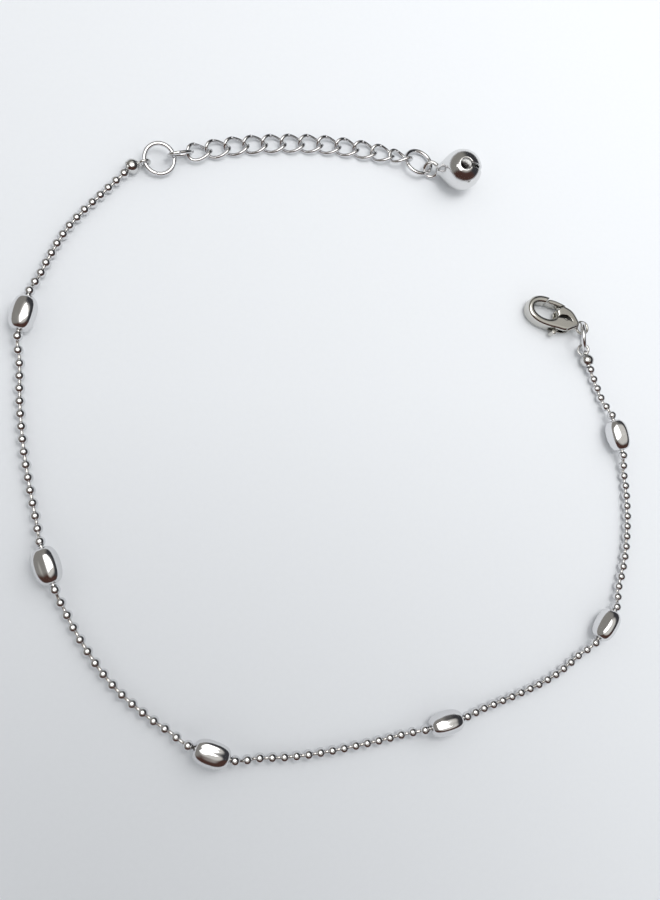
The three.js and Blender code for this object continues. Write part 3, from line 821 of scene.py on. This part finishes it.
class ANKLET_OT_stage(Piece, bpy.types.Operator):
    """Sets the floor, the soft light and the camera"""

    bl_idname = "anklet.stage"
    bl_label = "Stage"

    # The mirrored room's other tones: along an axis, from where to where they come in.
    ROOM_TONES = (
        ("X", -0.15, 0.3, (0.045, 0.045, 0.05, 1)),
        ("Y", -0.3, -0.6, (0.075, 0.036, 0.028, 1)),
        ("Z", 0.68, 0.88, (0.7, 0.68, 0.64, 1)),
        ("Z", 0.1, -0.02, (0.7, 0.71, 0.73, 1)),
    )
    # Painted reflection: the floor that the metal mirrors is painted dim between these distances, in metres,
    # while the eye sees it pale.
    FAR_FLOOR = (0.09, 0.3)
    FAR_REFLECTION_SHADE = (0.11, 0.095, 0.085, 1)
    BOARD_HALF = (95, 75)
    BOARD_PLACE = (-58, -72, 150)
    CAMERA_PLACE = (-30.02, -20.62, 115.3)
    CAMERA_RIGHT = (0.9725, -0.0172, 0.2321)
    CAMERA_BACK = (-0.2321, -0.1456, 0.9617)

    def execute(self, context):
        stage = context.scene.anklet_stage
        self.floor(stage)
        self.surroundings(context.scene, stage)
        self.lamps(stage)
        self.shade()
        self.camera(context.scene, stage)
        context.scene.view_settings.view_transform = "Standard"
        context.scene.view_settings.look = "None"
        return {"FINISHED"}

    def sheet(self, name, material_name, half_x, half_y):
        """A flat rectangle with a material of its own, and that material's nodes."""
        mesh = bpy.data.meshes.new(name)
        corners = [(x * half_x, y * half_y, 0) for x, y in ((-1, -1), (1, -1), (1, 1), (-1, 1))]
        mesh.from_pydata(corners, [], [(0, 1, 2, 3)])
        material = bpy.data.materials.new(material_name)
        material.use_nodes = True
        mesh.materials.append(material)
        sheet = bpy.data.objects.new(name, mesh)
        bpy.context.scene.collection.objects.link(sheet)
        return sheet, material.node_tree

    def floor(self, stage):
        floor, tree = self.sheet("floor", "pale_floor", 3.0, 3.0)
        place = add_node(tree, "TexCoord").outputs["Object"]
        grain = noise(tree, place, 1400.0, Detail=3.0)
        pale = mixed(tree, grain, (*stage.floor, 1), (*(c * 0.975 for c in stage.floor), 1))
        reach = add_node(tree, "VectorMath", place, operation="LENGTH").outputs["Value"]
        # Painted reflection: for the rays that the metal mirrors, the far floor's colour is painted dark.
        dim = maths(tree, "MULTIPLY", fade(tree, reach, *self.FAR_FLOOR), self.mirrored(tree))
        shader = tree.nodes["Principled BSDF"].inputs
        plug(tree, shader["Base Color"], mixed(tree, dim, pale, self.FAR_REFLECTION_SHADE))
        plug(tree, shader["Roughness"], 0.9)
        plug(tree, shader["Specular IOR Level"], 0.1)

    def mirrored(self, tree):
        """1 for what the metal mirrors to the eye, and 0 for the light that it throws on the floor."""
        path = add_node(tree, "LightPath").outputs
        direct = maths(tree, "LESS_THAN", path["Diffuse Depth"], 0.5)
        return maths(tree, "MULTIPLY", path["Is Glossy Ray"], direct)

    def surroundings(self, scene, stage):
        """Pale all around for the floor, and a dim room for what the metal mirrors."""
        world = bpy.data.worlds.new("soft_room")
        scene.world = world
        world.use_nodes = True
        tree = world.node_tree
        pale = tree.nodes["Background"]
        plug(tree, pale.inputs["Color"], (0.97, 0.985, 1.0, 1))
        plug(tree, pale.inputs["Strength"], stage.fill)
        towards = add_node(tree, "SeparateXYZ", add_node(tree, "TexCoord").outputs["Generated"]).outputs
        walls = (*stage.walls, 1)
        for axis, start, end, tone in self.ROOM_TONES:
            walls = mixed(tree, fade(tree, towards[axis], start, end), walls, tone)
        room = add_node(tree, "Background", Color=walls, Strength=1.0)
        both = add_node(tree, "MixShader", self.mirrored(tree), pale.outputs[0], room.outputs[0])
        plug(tree, tree.nodes["World Output"].inputs["Surface"], both.outputs[0])

    def lamps(self, stage):
        for name, place, aim, width, depth, power, glossy in (
            ("soft_key", (150, 130, 230), (10, 20, 0), 160, 160, stage.key, False),
            ("soft_top", (50, 60, 300), (50, 60, 0), 120, 120, stage.top, False),
            ("overhead_panel", (-48, 24, 175), (-40, 10, 0), 190, 150, stage.overhead, True),
        ):
            light = bpy.data.lights.new(name, "AREA")
            light.shape = "RECTANGLE"
            light.size, light.size_y = width * MM, depth * MM
            lamp = bpy.data.objects.new(name, light)
            lamp.location = Vector(place) * MM
            lamp.rotation_euler = (Vector(aim) - Vector(place)).to_track_quat("-Z", "Y").to_euler()
            lamp.visible_camera = False
            if glossy:
                lamp.visible_diffuse = False
                light.energy = power * math.pi * light.size * light.size_y
            else:
                lamp.visible_glossy = False
                light.energy = power
            bpy.context.scene.collection.objects.link(lamp)

    def shade(self):
        """A dark board over the near left corner, which deepens the tone of the floor below it."""
        half_x, half_y = self.BOARD_HALF
        board, tree = self.sheet("shade_board", "shade_cloth", half_x * MM, half_y * MM)
        board.location = Vector(self.BOARD_PLACE) * MM
        board.visible_camera = board.visible_glossy = board.visible_transmission = False
        weave = add_node(tree, "TexNoise", Scale=400.0).outputs[0]
        dark = add_node(tree, "MapRange", weave, 0.0, 1.0, 0.01, 0.03).outputs[0]
        plug(tree, tree.nodes["Principled BSDF"].inputs["Base Color"], dark)

    def camera(self, scene, stage):
        data = bpy.data.cameras.new("camera")
        data.lens = stage.lens
        data.sensor_width = 36
        data.clip_start = 0.002
        camera = bpy.data.objects.new("camera", data)
        back = Vector(self.CAMERA_BACK).normalized()
        up = back.cross(Vector(self.CAMERA_RIGHT)).normalized()
        camera.matrix_world = basis(Vector(self.CAMERA_PLACE) * MM, up.cross(back), up, back)
        scene.collection.objects.link(camera)
        scene.camera = camera


class ANKLET_OT_ball_chain(Piece, bpy.types.Operator):
    """Makes the small balls and the bars between them"""

    bl_idname = "anklet.ball_chain"
    bl_label = "Ball Chain"

    MOUTH = 0.62  # radius of a ball's mouth, as a share of the bar's diameter
    LIP_AT = 0.86  # where the mouth's edge ends inside, as a share of the ball's radius
    LIP = 0.9  # the edge's radius there, as a share of the bar's
    SEAM_HALF = 4  # degrees
    BALL_ROWS = 13
    BALL_SIDES = 24
    BAR_SIDES = 12

    def execute(self, context):
        layout = Layout(context.scene)
        sides = random.Random(7)
        for name, runs in (("left", range(3)), ("right", range(3, len(CHAIN_RUNS)))):
            skin = Skin()
            stations = [s for i in runs for s in layout.balls[i]]
            for s in stations:
                self.ball(skin, layout, s, sides)
            self.bars(skin, layout, stations, name)
            node = f"ball_chain_{name}"
            piece = make_piece(f"balls_{name}", skin.points, skin.faces, node, "polished_chain")
            piece.data.materials.append(finish("chain_bars"))
            for face in piece.data.polygons[skin.bars_from:]:
                face.material_index = 1
        return {"FINISHED"}

    def ball(self, skin, layout, s, sides):
        """A ball pressed from sheet: a small mouth at each bar, and a closed seam along one side."""
        chain = layout.chain
        radius = chain.ball / 2
        mouth = math.asin(self.MOUTH * chain.bar / radius)
        lip_at, lip = self.LIP_AT * radius, self.LIP * chain.bar / 2
        profile = [(-lip_at, lip)]
        for i in range(self.BALL_ROWS + 1):
            angle = mouth + (math.pi - 2 * mouth) * i / self.BALL_ROWS
            profile.append((-radius * math.cos(angle), radius * math.sin(angle)))
        profile.append((lip_at, lip))
        seam = sides.uniform(0, 2 * math.pi)
        width = math.radians(self.SEAM_HALF)
        step = (2 * math.pi - 4 * width) / (self.BALL_SIDES - 1)
        round_rest = [2 * width + step * k for k in range(self.BALL_SIDES)]
        angles = sorted((seam + a) % (2 * math.pi) for a in (-width, 0, width, *round_rest))

        def depth(_, angle):
            return chain.seam / radius if abs(angle - seam) < 1e-6 else 0

        wobble = heading(sides.uniform(0, 360), sides.uniform(-60, 60)) * 0.01 * MM
        matrix = Matrix.Translation(wobble) @ layout.chain_frame(s)
        skin.turned(profile, matrix, angles, depth)

    def bars(self, skin, layout, stations, name):
        """Bars from ball to ball, and through the beads to the middle one."""
        skin.bars_from = len(skin.faces)
        chain = layout.chain
        radius, sides = chain.bar / 2, self.BAR_SIDES
        meeting = layout.beads[MEETING_BEAD]
        gap = MEETING_GAP / 2 * MM
        reach = math.sqrt((chain.ball / 2) ** 2 - radius**2)
        start = -reach if name == "left" else meeting + gap
        end = meeting - gap if name == "left" else layout.route.length + reach
        stops = [start, *stations, end]
        for a, b in zip(stops, stops[1:]):
            # A bar inside a bead is long, and follows the route in more steps.
            count = 2 if b - a < 2.5 * chain.ball else 8
            rows = []
            for k in range(count + 1):
                s = a + (b - a) * k / count
                inside = min(max(s, 0), layout.route.length)
                matrix = layout.chain_frame(inside) @ Matrix.Translation((s - inside, 0, 0))
                rows.append([
                    matrix @ Vector((0, radius * math.cos(t), radius * math.sin(t)))
                    for t in whole_turn(sides)
                ])
            first = skin.rows(rows)
            skin.cap(first, sides, False)
            skin.cap(first + (len(rows) - 1) * sides, sides, True)


class ANKLET_OT_oval_beads(Piece, bpy.types.Operator):
    """Makes the six oval beads"""

    bl_idname = "anklet.oval_beads"
    bl_label = "Oval Beads"

    # The drilled mouth, from inside the bore to the end face: shares of the bead's half length, and
    # of the bore's radius.
    MOUTH = ((0.6, 1.0), (0.97, 1.0), (0.995, 1.12), (1.0, 1.3))
    SKIN_END = 0.995  # of the half length
    END_WIDTH = 0.36  # of the bead's width
    SQUARENESS = 2.4  # 2 is an ellipse
    ROWS = 40
    SIDES = 64
    DENTS = 9
    FOLDS = (3, 5, 7, 9)  # long ridges round the bead, in each set of folds

    def execute(self, context):
        layout = Layout(context.scene)
        chain = layout.chain
        half, radius, bore = chain.bead_length / 2, chain.bead / 2, chain.bead_bore / 2
        dice = random.Random(11)
        for i, s in enumerate(layout.beads):
            mouth = [(along * half, across * bore) for along, across in self.MOUTH]
            profile = [(-along, across) for along, across in mouth]
            for k in range(self.ROWS + 1):
                along = -math.cos(math.pi * k / self.ROWS)
                bulge = math.sqrt(max(1 - abs(along) ** self.SQUARENESS, 0))
                across = self.END_WIDTH + (1 - self.END_WIDTH) * bulge
                profile.append((along * self.SKIN_END * half, radius * across))
            profile += reversed(mouth)
            dents = [
                (dice.uniform(-0.7, 0.7) * half, dice.uniform(0, 2 * math.pi), dice.uniform(0.4, 0.9),
                 dice.uniform(-1, 1))
                for _ in range(self.DENTS)
            ]
            folds = [
                (count, dice.uniform(0, 2 * math.pi), dice.uniform(0.4, 1) / count) for count in self.FOLDS
            ]

            def depth(along, angle, dents=dents, folds=folds):
                fade = math.sqrt(max(1 - (along / half) ** 2, 0))
                total = sum(4 * deep * math.cos(count * (angle - turn)) for count, turn, deep in folds) * fade
                for middle, turn, wide, deep in dents:
                    across = (angle - turn + math.pi) % (2 * math.pi) - math.pi
                    far = (across / wide) ** 2 + ((along - middle) / (wide * half * 0.8)) ** 2
                    total += deep * math.exp(-far)
                return total * chain.dents / radius

            skin = Skin()
            skin.turned(profile, layout.chain_frame(s), whole_turn(self.SIDES), depth, closed=True)
            make_piece(f"bead_{i + 1}", skin.points, skin.faces, f"oval_bead_{i + 1}", "polished_bead")
        return {"FINISHED"}


class ANKLET_OT_end_connectors(Piece, bpy.types.Operator):
    """Makes the two end connectors"""

    bl_idname = "anklet.end_connectors"
    bl_label = "End Connectors"

    MOUTH = 48  # degrees from the chain's axis to the cup's mouth

    def execute(self, context):
        layout = Layout(context.scene)
        chain = layout.chain
        cup, wall = layout.cup_radius / MM, chain.cup_wall / MM
        outer, wire, at = layout.loop_outer / MM, chain.loop_wire / MM, layout.loop_at / MM
        mouth = -cup * math.cos(math.radians(self.MOUTH))
        bulge, edge = 0.06, 0.04
        seam_half, seam_depth = 0.03, 0.05
        neck_radius, neck_from, neck_to = 0.36, cup - 0.12, cup + 0.3

        def connector(x, y, z):
            far = np.sqrt(x * x + y * y + z * z)
            body = np.abs(far - cup + wall / 2) - wall / 2
            lip = torus(y, z, x - mouth, 2 * math.sqrt(cup**2 - mouth**2) + bulge, wall + bulge)
            body = joined(cut_from(body, x - mouth, edge), lip, 0.05)
            seam = np.maximum(np.abs(y) - seam_half, cup - seam_depth - far)
            body = cut_from(body, seam, edge)
            neck = np.sqrt(y * y + z * z) - neck_radius
            neck = np.maximum(np.maximum(neck, neck_from - x), x - neck_to)
            loop = torus(x - at, z, y, outer, wire)
            return joined(joined(body, neck, 0.2), loop, 0.16)

        margin, pitch = 0.15, 0.045
        low = (mouth - 0.2, -cup - margin, -cup - margin)
        high = (at + outer / 2 + margin, cup + margin, cup + margin)
        for name, matrix in (("left", layout.left_connector), ("right", layout.right_connector)):
            make_carved(
                f"connector_{name}", connector, low, high, pitch, matrix, f"end_connector_{name}",
                "plated_fitting",
            )
        return {"FINISHED"}


class ANKLET_OT_jump_rings(Piece, bpy.types.Operator):
    """Makes the three jump rings"""

    bl_idname = "anklet.jump_rings"
    bl_label = "Jump Rings"

    STEPS = 120
    WIRE_SIDES = 20

    def execute(self, context):
        layout = Layout(context.scene)
        # Each ring's name, its place, the heading of its cut, and how far its ends lie apart.
        rings = (
            ("large", layout.large_ring, 262, 0.07),
            ("end", layout.end_ring, 200, 0.04),
            ("clasp", layout.clasp_ring, 250, 0.05),
        )
        for name, (centre, normal, towards), cut_at, slip in rings:
            skin = Skin()
            self.ring(skin, layout, centre, normal, towards, cut_at, slip * MM)
            make_piece(f"ring_{name}", skin.points, skin.faces, f"jump_ring_{name}", "plated_wire")
        return {"FINISHED"}

    def ring(self, skin, layout, centre, normal, towards, cut_at, slip):
        """Bent wire whose two ends meet at a cut, a little out of line."""
        e = layout.extension
        z = normal.normalized()
        x = (towards - z * towards.dot(z)).normalized()
        matrix = basis(centre, x, z.cross(x), z)
        plan = matrix.inverted().to_3x3() @ heading(cut_at)
        start = math.atan2(plan.y, plan.x)
        opening = e.cut / layout.ring_radius / 2
        places = []
        for k in range(self.STEPS + 1):
            along = k / self.STEPS
            angle = start + opening + (2 * math.pi - 2 * opening) * along
            out = Vector((math.cos(angle), math.sin(angle), 0))
            lift = slip * (along - 0.5) * abs(2 * along - 1) ** 6
            point = out * layout.ring_radius + Z_AXIS * lift
            places.append((matrix @ point, matrix.to_3x3() @ out, matrix.to_3x3() @ Z_AXIS))
        skin.swept(places, self.WIRE_SIDES, e.ring_wire / 2, closed=False)


class ANKLET_OT_curb_links(Piece, bpy.types.Operator):
    """Makes the links of the extension chain"""

    bl_idname = "anklet.curb_links"
    bl_label = "Curb Links"

    SQUARENESS = 1.18  # 1 is an ellipse
    CUT_AT = 104  # degrees round the link from its leading end
    STEPS = 84
    WIRE_SIDES = 16

    def execute(self, context):
        layout = Layout(context.scene)
        links = layout.links
        for i, centre in enumerate(links):
            twist, roll, _ = ODD_LINKS.get(i, PLAIN_LINK)
            ahead = links[min(i + 1, LINK_COUNT - 1)] - links[max(i - 1, 0)]
            skin = Skin()
            self.link(skin, layout, frame_at(centre, ahead, roll), math.radians(twist))
            number = f"link_{i + 1:02d}"
            make_piece(number, skin.points, skin.faces, f"curb_{number}", "plated_wire")
        return {"FINISHED"}

    def link(self, skin, layout, matrix, twist):
        """An oval of round wire, twisted from one end to the other, closed at a cut in one side."""
        e = layout.extension
        half_length, half_width = (e.link_length - e.link_wire) / 2, (e.link_width - e.link_wire) / 2
        square = 1 / self.SQUARENESS

        def oval(angle):
            c, s = math.cos(angle), math.sin(angle)
            x = half_length * math.copysign(abs(c) ** square, c)
            across = half_width * math.copysign(abs(s) ** square, s)
            turn = -twist / 2 * x / half_length
            return Vector((x, across * math.cos(turn), across * math.sin(turn))), turn

        cut_at = math.radians(self.CUT_AT)
        opening = e.cut / 2 / half_length
        places = []
        for k in range(self.STEPS + 1):
            angle = cut_at + opening + (2 * math.pi - 2 * opening) * k / self.STEPS
            point, turn = oval(angle)
            along = (oval(angle + 0.01)[0] - oval(angle - 0.01)[0]).normalized()
            up = Vector((0, -math.sin(turn), math.cos(turn)))
            up = (up - along * up.dot(along)).normalized()
            turned = matrix.to_3x3()
            places.append((matrix @ point, turned @ along.cross(up), turned @ up))
        skin.swept(places, self.WIRE_SIDES, e.link_wire / 2, closed=False)


class ANKLET_OT_bell(Piece, bpy.types.Operator):
    """Makes the bell and the ball inside it"""

    bl_idname = "anklet.bell"
    bl_label = "Bell"

    # Degrees from the bell's axis to its holes, and from its y axis to its slot.
    HOLE_ANGLE = 73
    SLOT_TURN = 65

    def execute(self, context):
        layout = Layout(context.scene)
        e = layout.extension
        radius, wall, hole = e.bell / 2 / MM, e.bell_wall / MM, e.bell_hole / MM
        loop_outer, loop_wire, reach = e.bell_loop / MM, e.bell_loop_wire / MM, e.bell_reach / MM
        slot = e.bell_slot / MM
        at = math.radians(self.HOLE_ANGLE)
        turn = math.radians(self.SLOT_TURN)
        shoulder = radius * math.cos(at)
        rolled, margin, pitch = 0.22, 0.2, 0.075
        # The neck is a cone that widens from the loop into the shell.
        neck_end = -(reach - loop_outer / 2 + loop_wire * 0.6)
        neck_radius, neck_growth, neck_lean, neck_fillet = 0.24 * radius, 0.42, 0.92, 1.1
        loop_fillet, inner_edge = 0.3, 0.1

        def bell(x, y, z):
            # s runs along the slot, and t across it.
            s = -(y * math.cos(turn) + z * math.sin(turn))
            t = y * math.sin(turn) - z * math.cos(turn)
            far = np.sqrt(x * x + y * y + z * z)
            body = far - radius
            off = np.sqrt(y * y + z * z)
            width = neck_radius + (x - neck_end) * neck_growth
            cone = np.maximum((off - width) * neck_lean, np.maximum(neck_end - x, x + radius / 2))
            body = joined(body, cone, neck_fillet)
            body = joined(body, torus(x + reach, y, z, loop_outer, loop_wire), loop_fillet)
            body = cut_from(body, far - radius + wall, inner_edge)
            gap = np.maximum(np.abs(t) - slot / 2, shoulder - x)
            body = cut_from(body, gap, rolled)
            for side in (-1, 1):
                along = x * math.cos(at) + side * s * math.sin(at)
                aside = s * math.cos(at) - side * x * math.sin(at)
                bore = np.maximum(np.sqrt(aside**2 + t**2) - hole / 2, 0.4 * radius - along)
                body = cut_from(body, bore, rolled)
            return body

        side = radius + margin
        low, high = (-reach - loop_outer / 2 - margin, -side, -side), (side, side, side)
        make_carved("bell_shell", bell, low, high, pitch, layout.bell, "bell_body", "polished_bell")
        skin = Skin()
        clapper = e.clapper / 2
        rows = 20
        profile = [
            (-clapper * math.cos(math.pi * k / rows), clapper * max(math.sin(math.pi * k / rows), 1e-4))
            for k in range(rows + 1)
        ]
        skin.turned(profile, Matrix.Translation(layout.clapper), whole_turn(36))
        make_piece("bell_ball", skin.points, skin.faces, "bell_clapper", "plated_fitting")
        return {"FINISHED"}


class ANKLET_OT_clasp(Piece, bpy.types.Operator):
    """Makes the lobster clasp's body and its lever"""

    bl_idname = "anklet.clasp"
    bl_label = "Lobster Clasp"

    # Places in plan, as shares of the clasp's length and of its half width.
    PIVOT = (0.325, -0.1)
    EYE_MIDDLE = (0.69, 0.0)
    EYE_HALF = (0.205, 0.52)
    CRESCENT_OUTER = (0.334, 0.404)
    CRESCENT_INNER = (0.276, 2.13)
    CRESCENT_FLATTER = 3.27  # the inner arc's radius, as a share of the outer one's
    SLOT_ALONG = (0.21, 0.53)  # of the length
    GATE = (0.183, 0.415)  # its inner and outer radius round the pivot, of the length
    THUMB_REACH = 1.36  # from the pivot, of the half width
    # Angles round the pivot, in degrees.
    GATE_OPENING = (-75, 4)
    GATE_FOOT = -58
    GATE_TIP = -26.5
    THUMB = 67
    GATE_BEND = (0.82, -40)  # share of the gate's outer radius, and angle
    CURVE_STEPS = 14
    # Millimetres: the ribs' radius and their places from the knob's middle.
    RIB = 0.07
    RIBS_AT = (-0.24, 0.0, 0.24)

    def execute(self, context):
        layout = Layout(context.scene)
        self.shape(layout.clasp)
        place, long, half, thick = layout.clasp_frame, self.length, self.half, self.thickness
        low = (-1.5, -half - 0.3, -0.2)
        high = (long + 0.3, half + 0.3, thick + 0.3)
        hook = make_carved("clasp_hook", self.body, low, high, 0.065, place, "clasp_body", "cast_clasp")
        # Painted shade: the crescent groove's faces get a dark colour of their own.
        self.paint_crescent_shade(hook, place)
        high = (0.75 * long, half + 2.2, thick + 0.2)
        make_carved("clasp_gate", self.lever, low, high, 0.05, place, "clasp_lever", "cast_clasp", "lever")
        return {"FINISHED"}

    def shape(self, clasp):
        """Keeps the sizes in millimetres, and works out what the body and the lever share."""
        for key in ANKLET_PG_clasp.__annotations__:
            setattr(self, key, getattr(clasp, key) / MM)
        self.crescent_slope = clasp.crescent_slope
        self.half = self.width / 2
        self.pivot = self.spot(self.PIVOT)
        self.gate_inner, self.gate_outer = (radius * self.length for radius in self.GATE)
        self.cheek = (self.thickness - self.slot) / 2
        start = np.array(CLASP_START)
        outline = []
        for curve in CLASP_OUTLINE:
            a, b, c = (np.array(p) for p in curve)
            for k in range(self.CURVE_STEPS):
                t = k / self.CURVE_STEPS
                u = 1 - t
                outline.append(u**3 * start + 3 * u**2 * t * a + 3 * u * t**2 * b + t**3 * c)
            start = c
        outline.append(start)
        self.outline = [self.spot(point) for point in outline]

    def spot(self, shares):
        """A place in plan from its shares of the length and of the half width."""
        return shares[0] * self.length, shares[1] * self.half

    def on(self, radius, angle):
        """A place in plan at a radius and an angle round the pivot."""
        a = math.radians(angle)
        return (self.pivot[0] + radius * math.cos(a), self.pivot[1] + radius * math.sin(a))

    def crescent_at(self, x, y):
        """How far a place in plan lies past the crescent groove's outer edge, and past its inner one."""
        (ax, ay), (bx, by) = self.spot(self.CRESCENT_OUTER), self.spot(self.CRESCENT_INNER)
        outer = np.sqrt((x - ax) ** 2 + (y - ay) ** 2) - self.crescent
        inner = np.sqrt((x - bx) ** 2 + (y - by) ** 2) - self.CRESCENT_FLATTER * self.crescent
        return outer, inner

    def paint_crescent_shade(self, piece, matrix):
        """Paints the crescent groove's faces dark with a finish of their own: painted shade."""
        piece.data.materials.append(finish("clasp_painted_shade"))
        home = matrix.inverted()
        for face in piece.data.polygons:
            x, y, z = (home @ face.center) / MM
            outer, inner = self.crescent_at(x, y)
            if max(outer, -inner) < 0.03 and self.thickness - self.cheek < z < self.thickness - 0.05:
                face.material_index = 1

    def body(self, x, y, z):
        thick = self.thickness
        middle = thick / 2
        body = slab(polygon(x, y, self.outline), z, 0, thick, self.rounding)
        # The eye is an ellipse, and this is about the distance to its edge.
        (middle_x, middle_y), (eye_x, eye_y) = self.spot(self.EYE_MIDDLE), self.spot(self.EYE_HALF)
        ex, ey = (x - middle_x) / eye_x, (y - middle_y) / eye_y
        k1 = np.sqrt(ex**2 + ey**2)
        k2 = np.sqrt((ex / eye_x) ** 2 + (ey / eye_y) ** 2)
        body = cut_from(body, k1 * (k1 - 1) / np.maximum(k2, 1e-6), self.rounding)
        px, py = x - self.pivot[0], y - self.pivot[1]
        far, angle = np.sqrt(px**2 + py**2), np.degrees(np.arctan2(py, px))
        start, end = self.GATE_OPENING
        sides = np.maximum(start - angle, angle - end) * math.pi / 180 * far
        opening = np.maximum(np.maximum(self.gate_inner - far, far - self.gate_outer), sides)
        body = cut_from(body, opening, 0.1)
        start, end = (share_of * self.length for share_of in self.SLOT_ALONG)
        slot = np.maximum(np.abs(z - middle) - self.slot / 2, np.maximum(start - x, x - end))
        body = cut_from(body, slot, 0.12)
        pin = np.maximum(far - self.pin / 2, np.abs(z - middle) - middle + 0.06)
        groove = np.sqrt((far - self.pin / 2 - 0.05) ** 2 + (np.abs(z - middle) - middle) ** 2) - 0.06
        body = cut_from(joined(body, pin, 0.03), groove, 0.04)
        outer, inner = self.crescent_at(x, y)
        body = cut_from(body, np.maximum(outer, thick - self.crescent_slope * inner - z), 0.08)
        tail = torus(x, y, z - self.tail_height, self.tail_hole + 2 * self.tail_wire, self.tail_wire)
        return joined(body, tail, 0.3)

    def lever(self, x, y, z):
        gap, thick = self.gap, self.thickness
        low, high = self.cheek + gap, thick - self.cheek - gap
        px, py = x - self.pivot[0], y - self.pivot[1]
        far = np.sqrt(px**2 + py**2)
        hub_radius = self.pin / 2 + gap + self.hub_wall
        root, thumb_reach = hub_radius / 2, self.THUMB_REACH * self.half
        tip, foot = self.GATE_TIP, self.GATE_FOOT
        end = self.gate_inner + 4 * gap
        tongue = [self.on(r, a) for r, a in ((root, -95), (end, -66), (end, -42), (root, -38))]
        thumb = [
            self.on(r, self.THUMB + a)
            for r, a in ((root, -35), (thumb_reach, -7), (thumb_reach, 7), (root, 35))
        ]
        outer = self.gate_outer - gap
        gate = [self.on(self.gate_inner + gap, foot + 14)]
        gate += [self.on(outer, tip + 10 - k * 2) for k in range(6)]
        a, b = np.array(gate[-1]), np.array(self.on(self.gate_inner + gap, foot - 16))
        bend_at, bend_angle = self.GATE_BEND
        bend = np.array(self.on(bend_at * self.gate_outer, bend_angle))
        for k in range(1, 9):
            t = k / 8
            gate.append(tuple((1 - t) ** 2 * a + 2 * t * (1 - t) * bend + t**2 * b))
        body = slab(far - hub_radius, z, low, high, 0.08)
        body = joined(body, slab(polygon(x, y, tongue[::-1]), z, low, high, 0.06), 0.08)
        body = joined(body, slab(polygon(x, y, thumb), z, low, high, 0.1), 0.1)
        body = joined(body, slab(polygon(x, y, gate[::-1]), z, self.recess, thick - self.recess, 0.26), 0.1)
        kx, ky = self.on(thumb_reach, self.THUMB)
        flat = np.sqrt((x - kx) ** 2 + (y - ky) ** 2) - self.knob / 2
        body = joined(body, slab(flat, z, 1.5 * self.recess, thick - 1.5 * self.recess, 0.2), 0.18)
        for k in self.RIBS_AT:
            rib = np.sqrt((x - kx - k) ** 2 + (y - ky - self.knob / 2) ** 2) - self.RIB
            body = cut_from(body, rib, 0.04)
        return cut_from(body, far - self.pin / 2 - gap, 0.05)


class ANKLET_PT_panel(bpy.types.Panel):
    """Lists the anklet's pieces and their sizes"""

    bl_idname = "ANKLET_PT_panel"
    bl_label = "Ball Chain Anklet"
    bl_space_type = "VIEW_3D"
    bl_region_type = "UI"
    bl_category = "Anklet"

    def draw(self, context):
        for operator in PIECES:
            self.layout.operator(operator.bl_idname)
        for name, settings in SETTINGS.items():
            box = self.layout.box()
            for key in settings.__annotations__:
                box.prop(getattr(context.scene, name), key)


PIECES = (
    ANKLET_OT_stage,
    ANKLET_OT_ball_chain,
    ANKLET_OT_oval_beads,
    ANKLET_OT_end_connectors,
    ANKLET_OT_jump_rings,
    ANKLET_OT_curb_links,
    ANKLET_OT_bell,
    ANKLET_OT_clasp,
)
CLASSES = (*SETTINGS.values(), *PIECES, ANKLET_PT_panel)


def register():
    for cls in CLASSES:
        bpy.utils.register_class(cls)
    for name, settings in SETTINGS.items():
        setattr(bpy.types.Scene, name, PointerProperty(type=settings))


def unregister():
    for name in SETTINGS:
        delattr(bpy.types.Scene, name)
    for cls in reversed(CLASSES):
        bpy.utils.unregister_class(cls)


def dress_nodes():
    """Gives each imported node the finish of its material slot."""
    for part in frame["record"]["subparts"]:
        node = frame["nodes"][part["node"]]
        node.data.materials.clear()
        node.data.materials.append(finish(part["material_slot"]))


def main():
    register()
    for operator in PIECES:
        getattr(bpy.ops.anklet, operator.bl_idname.removeprefix("anklet."))()
    dress_nodes()


if __name__ == "__main__":
    main()
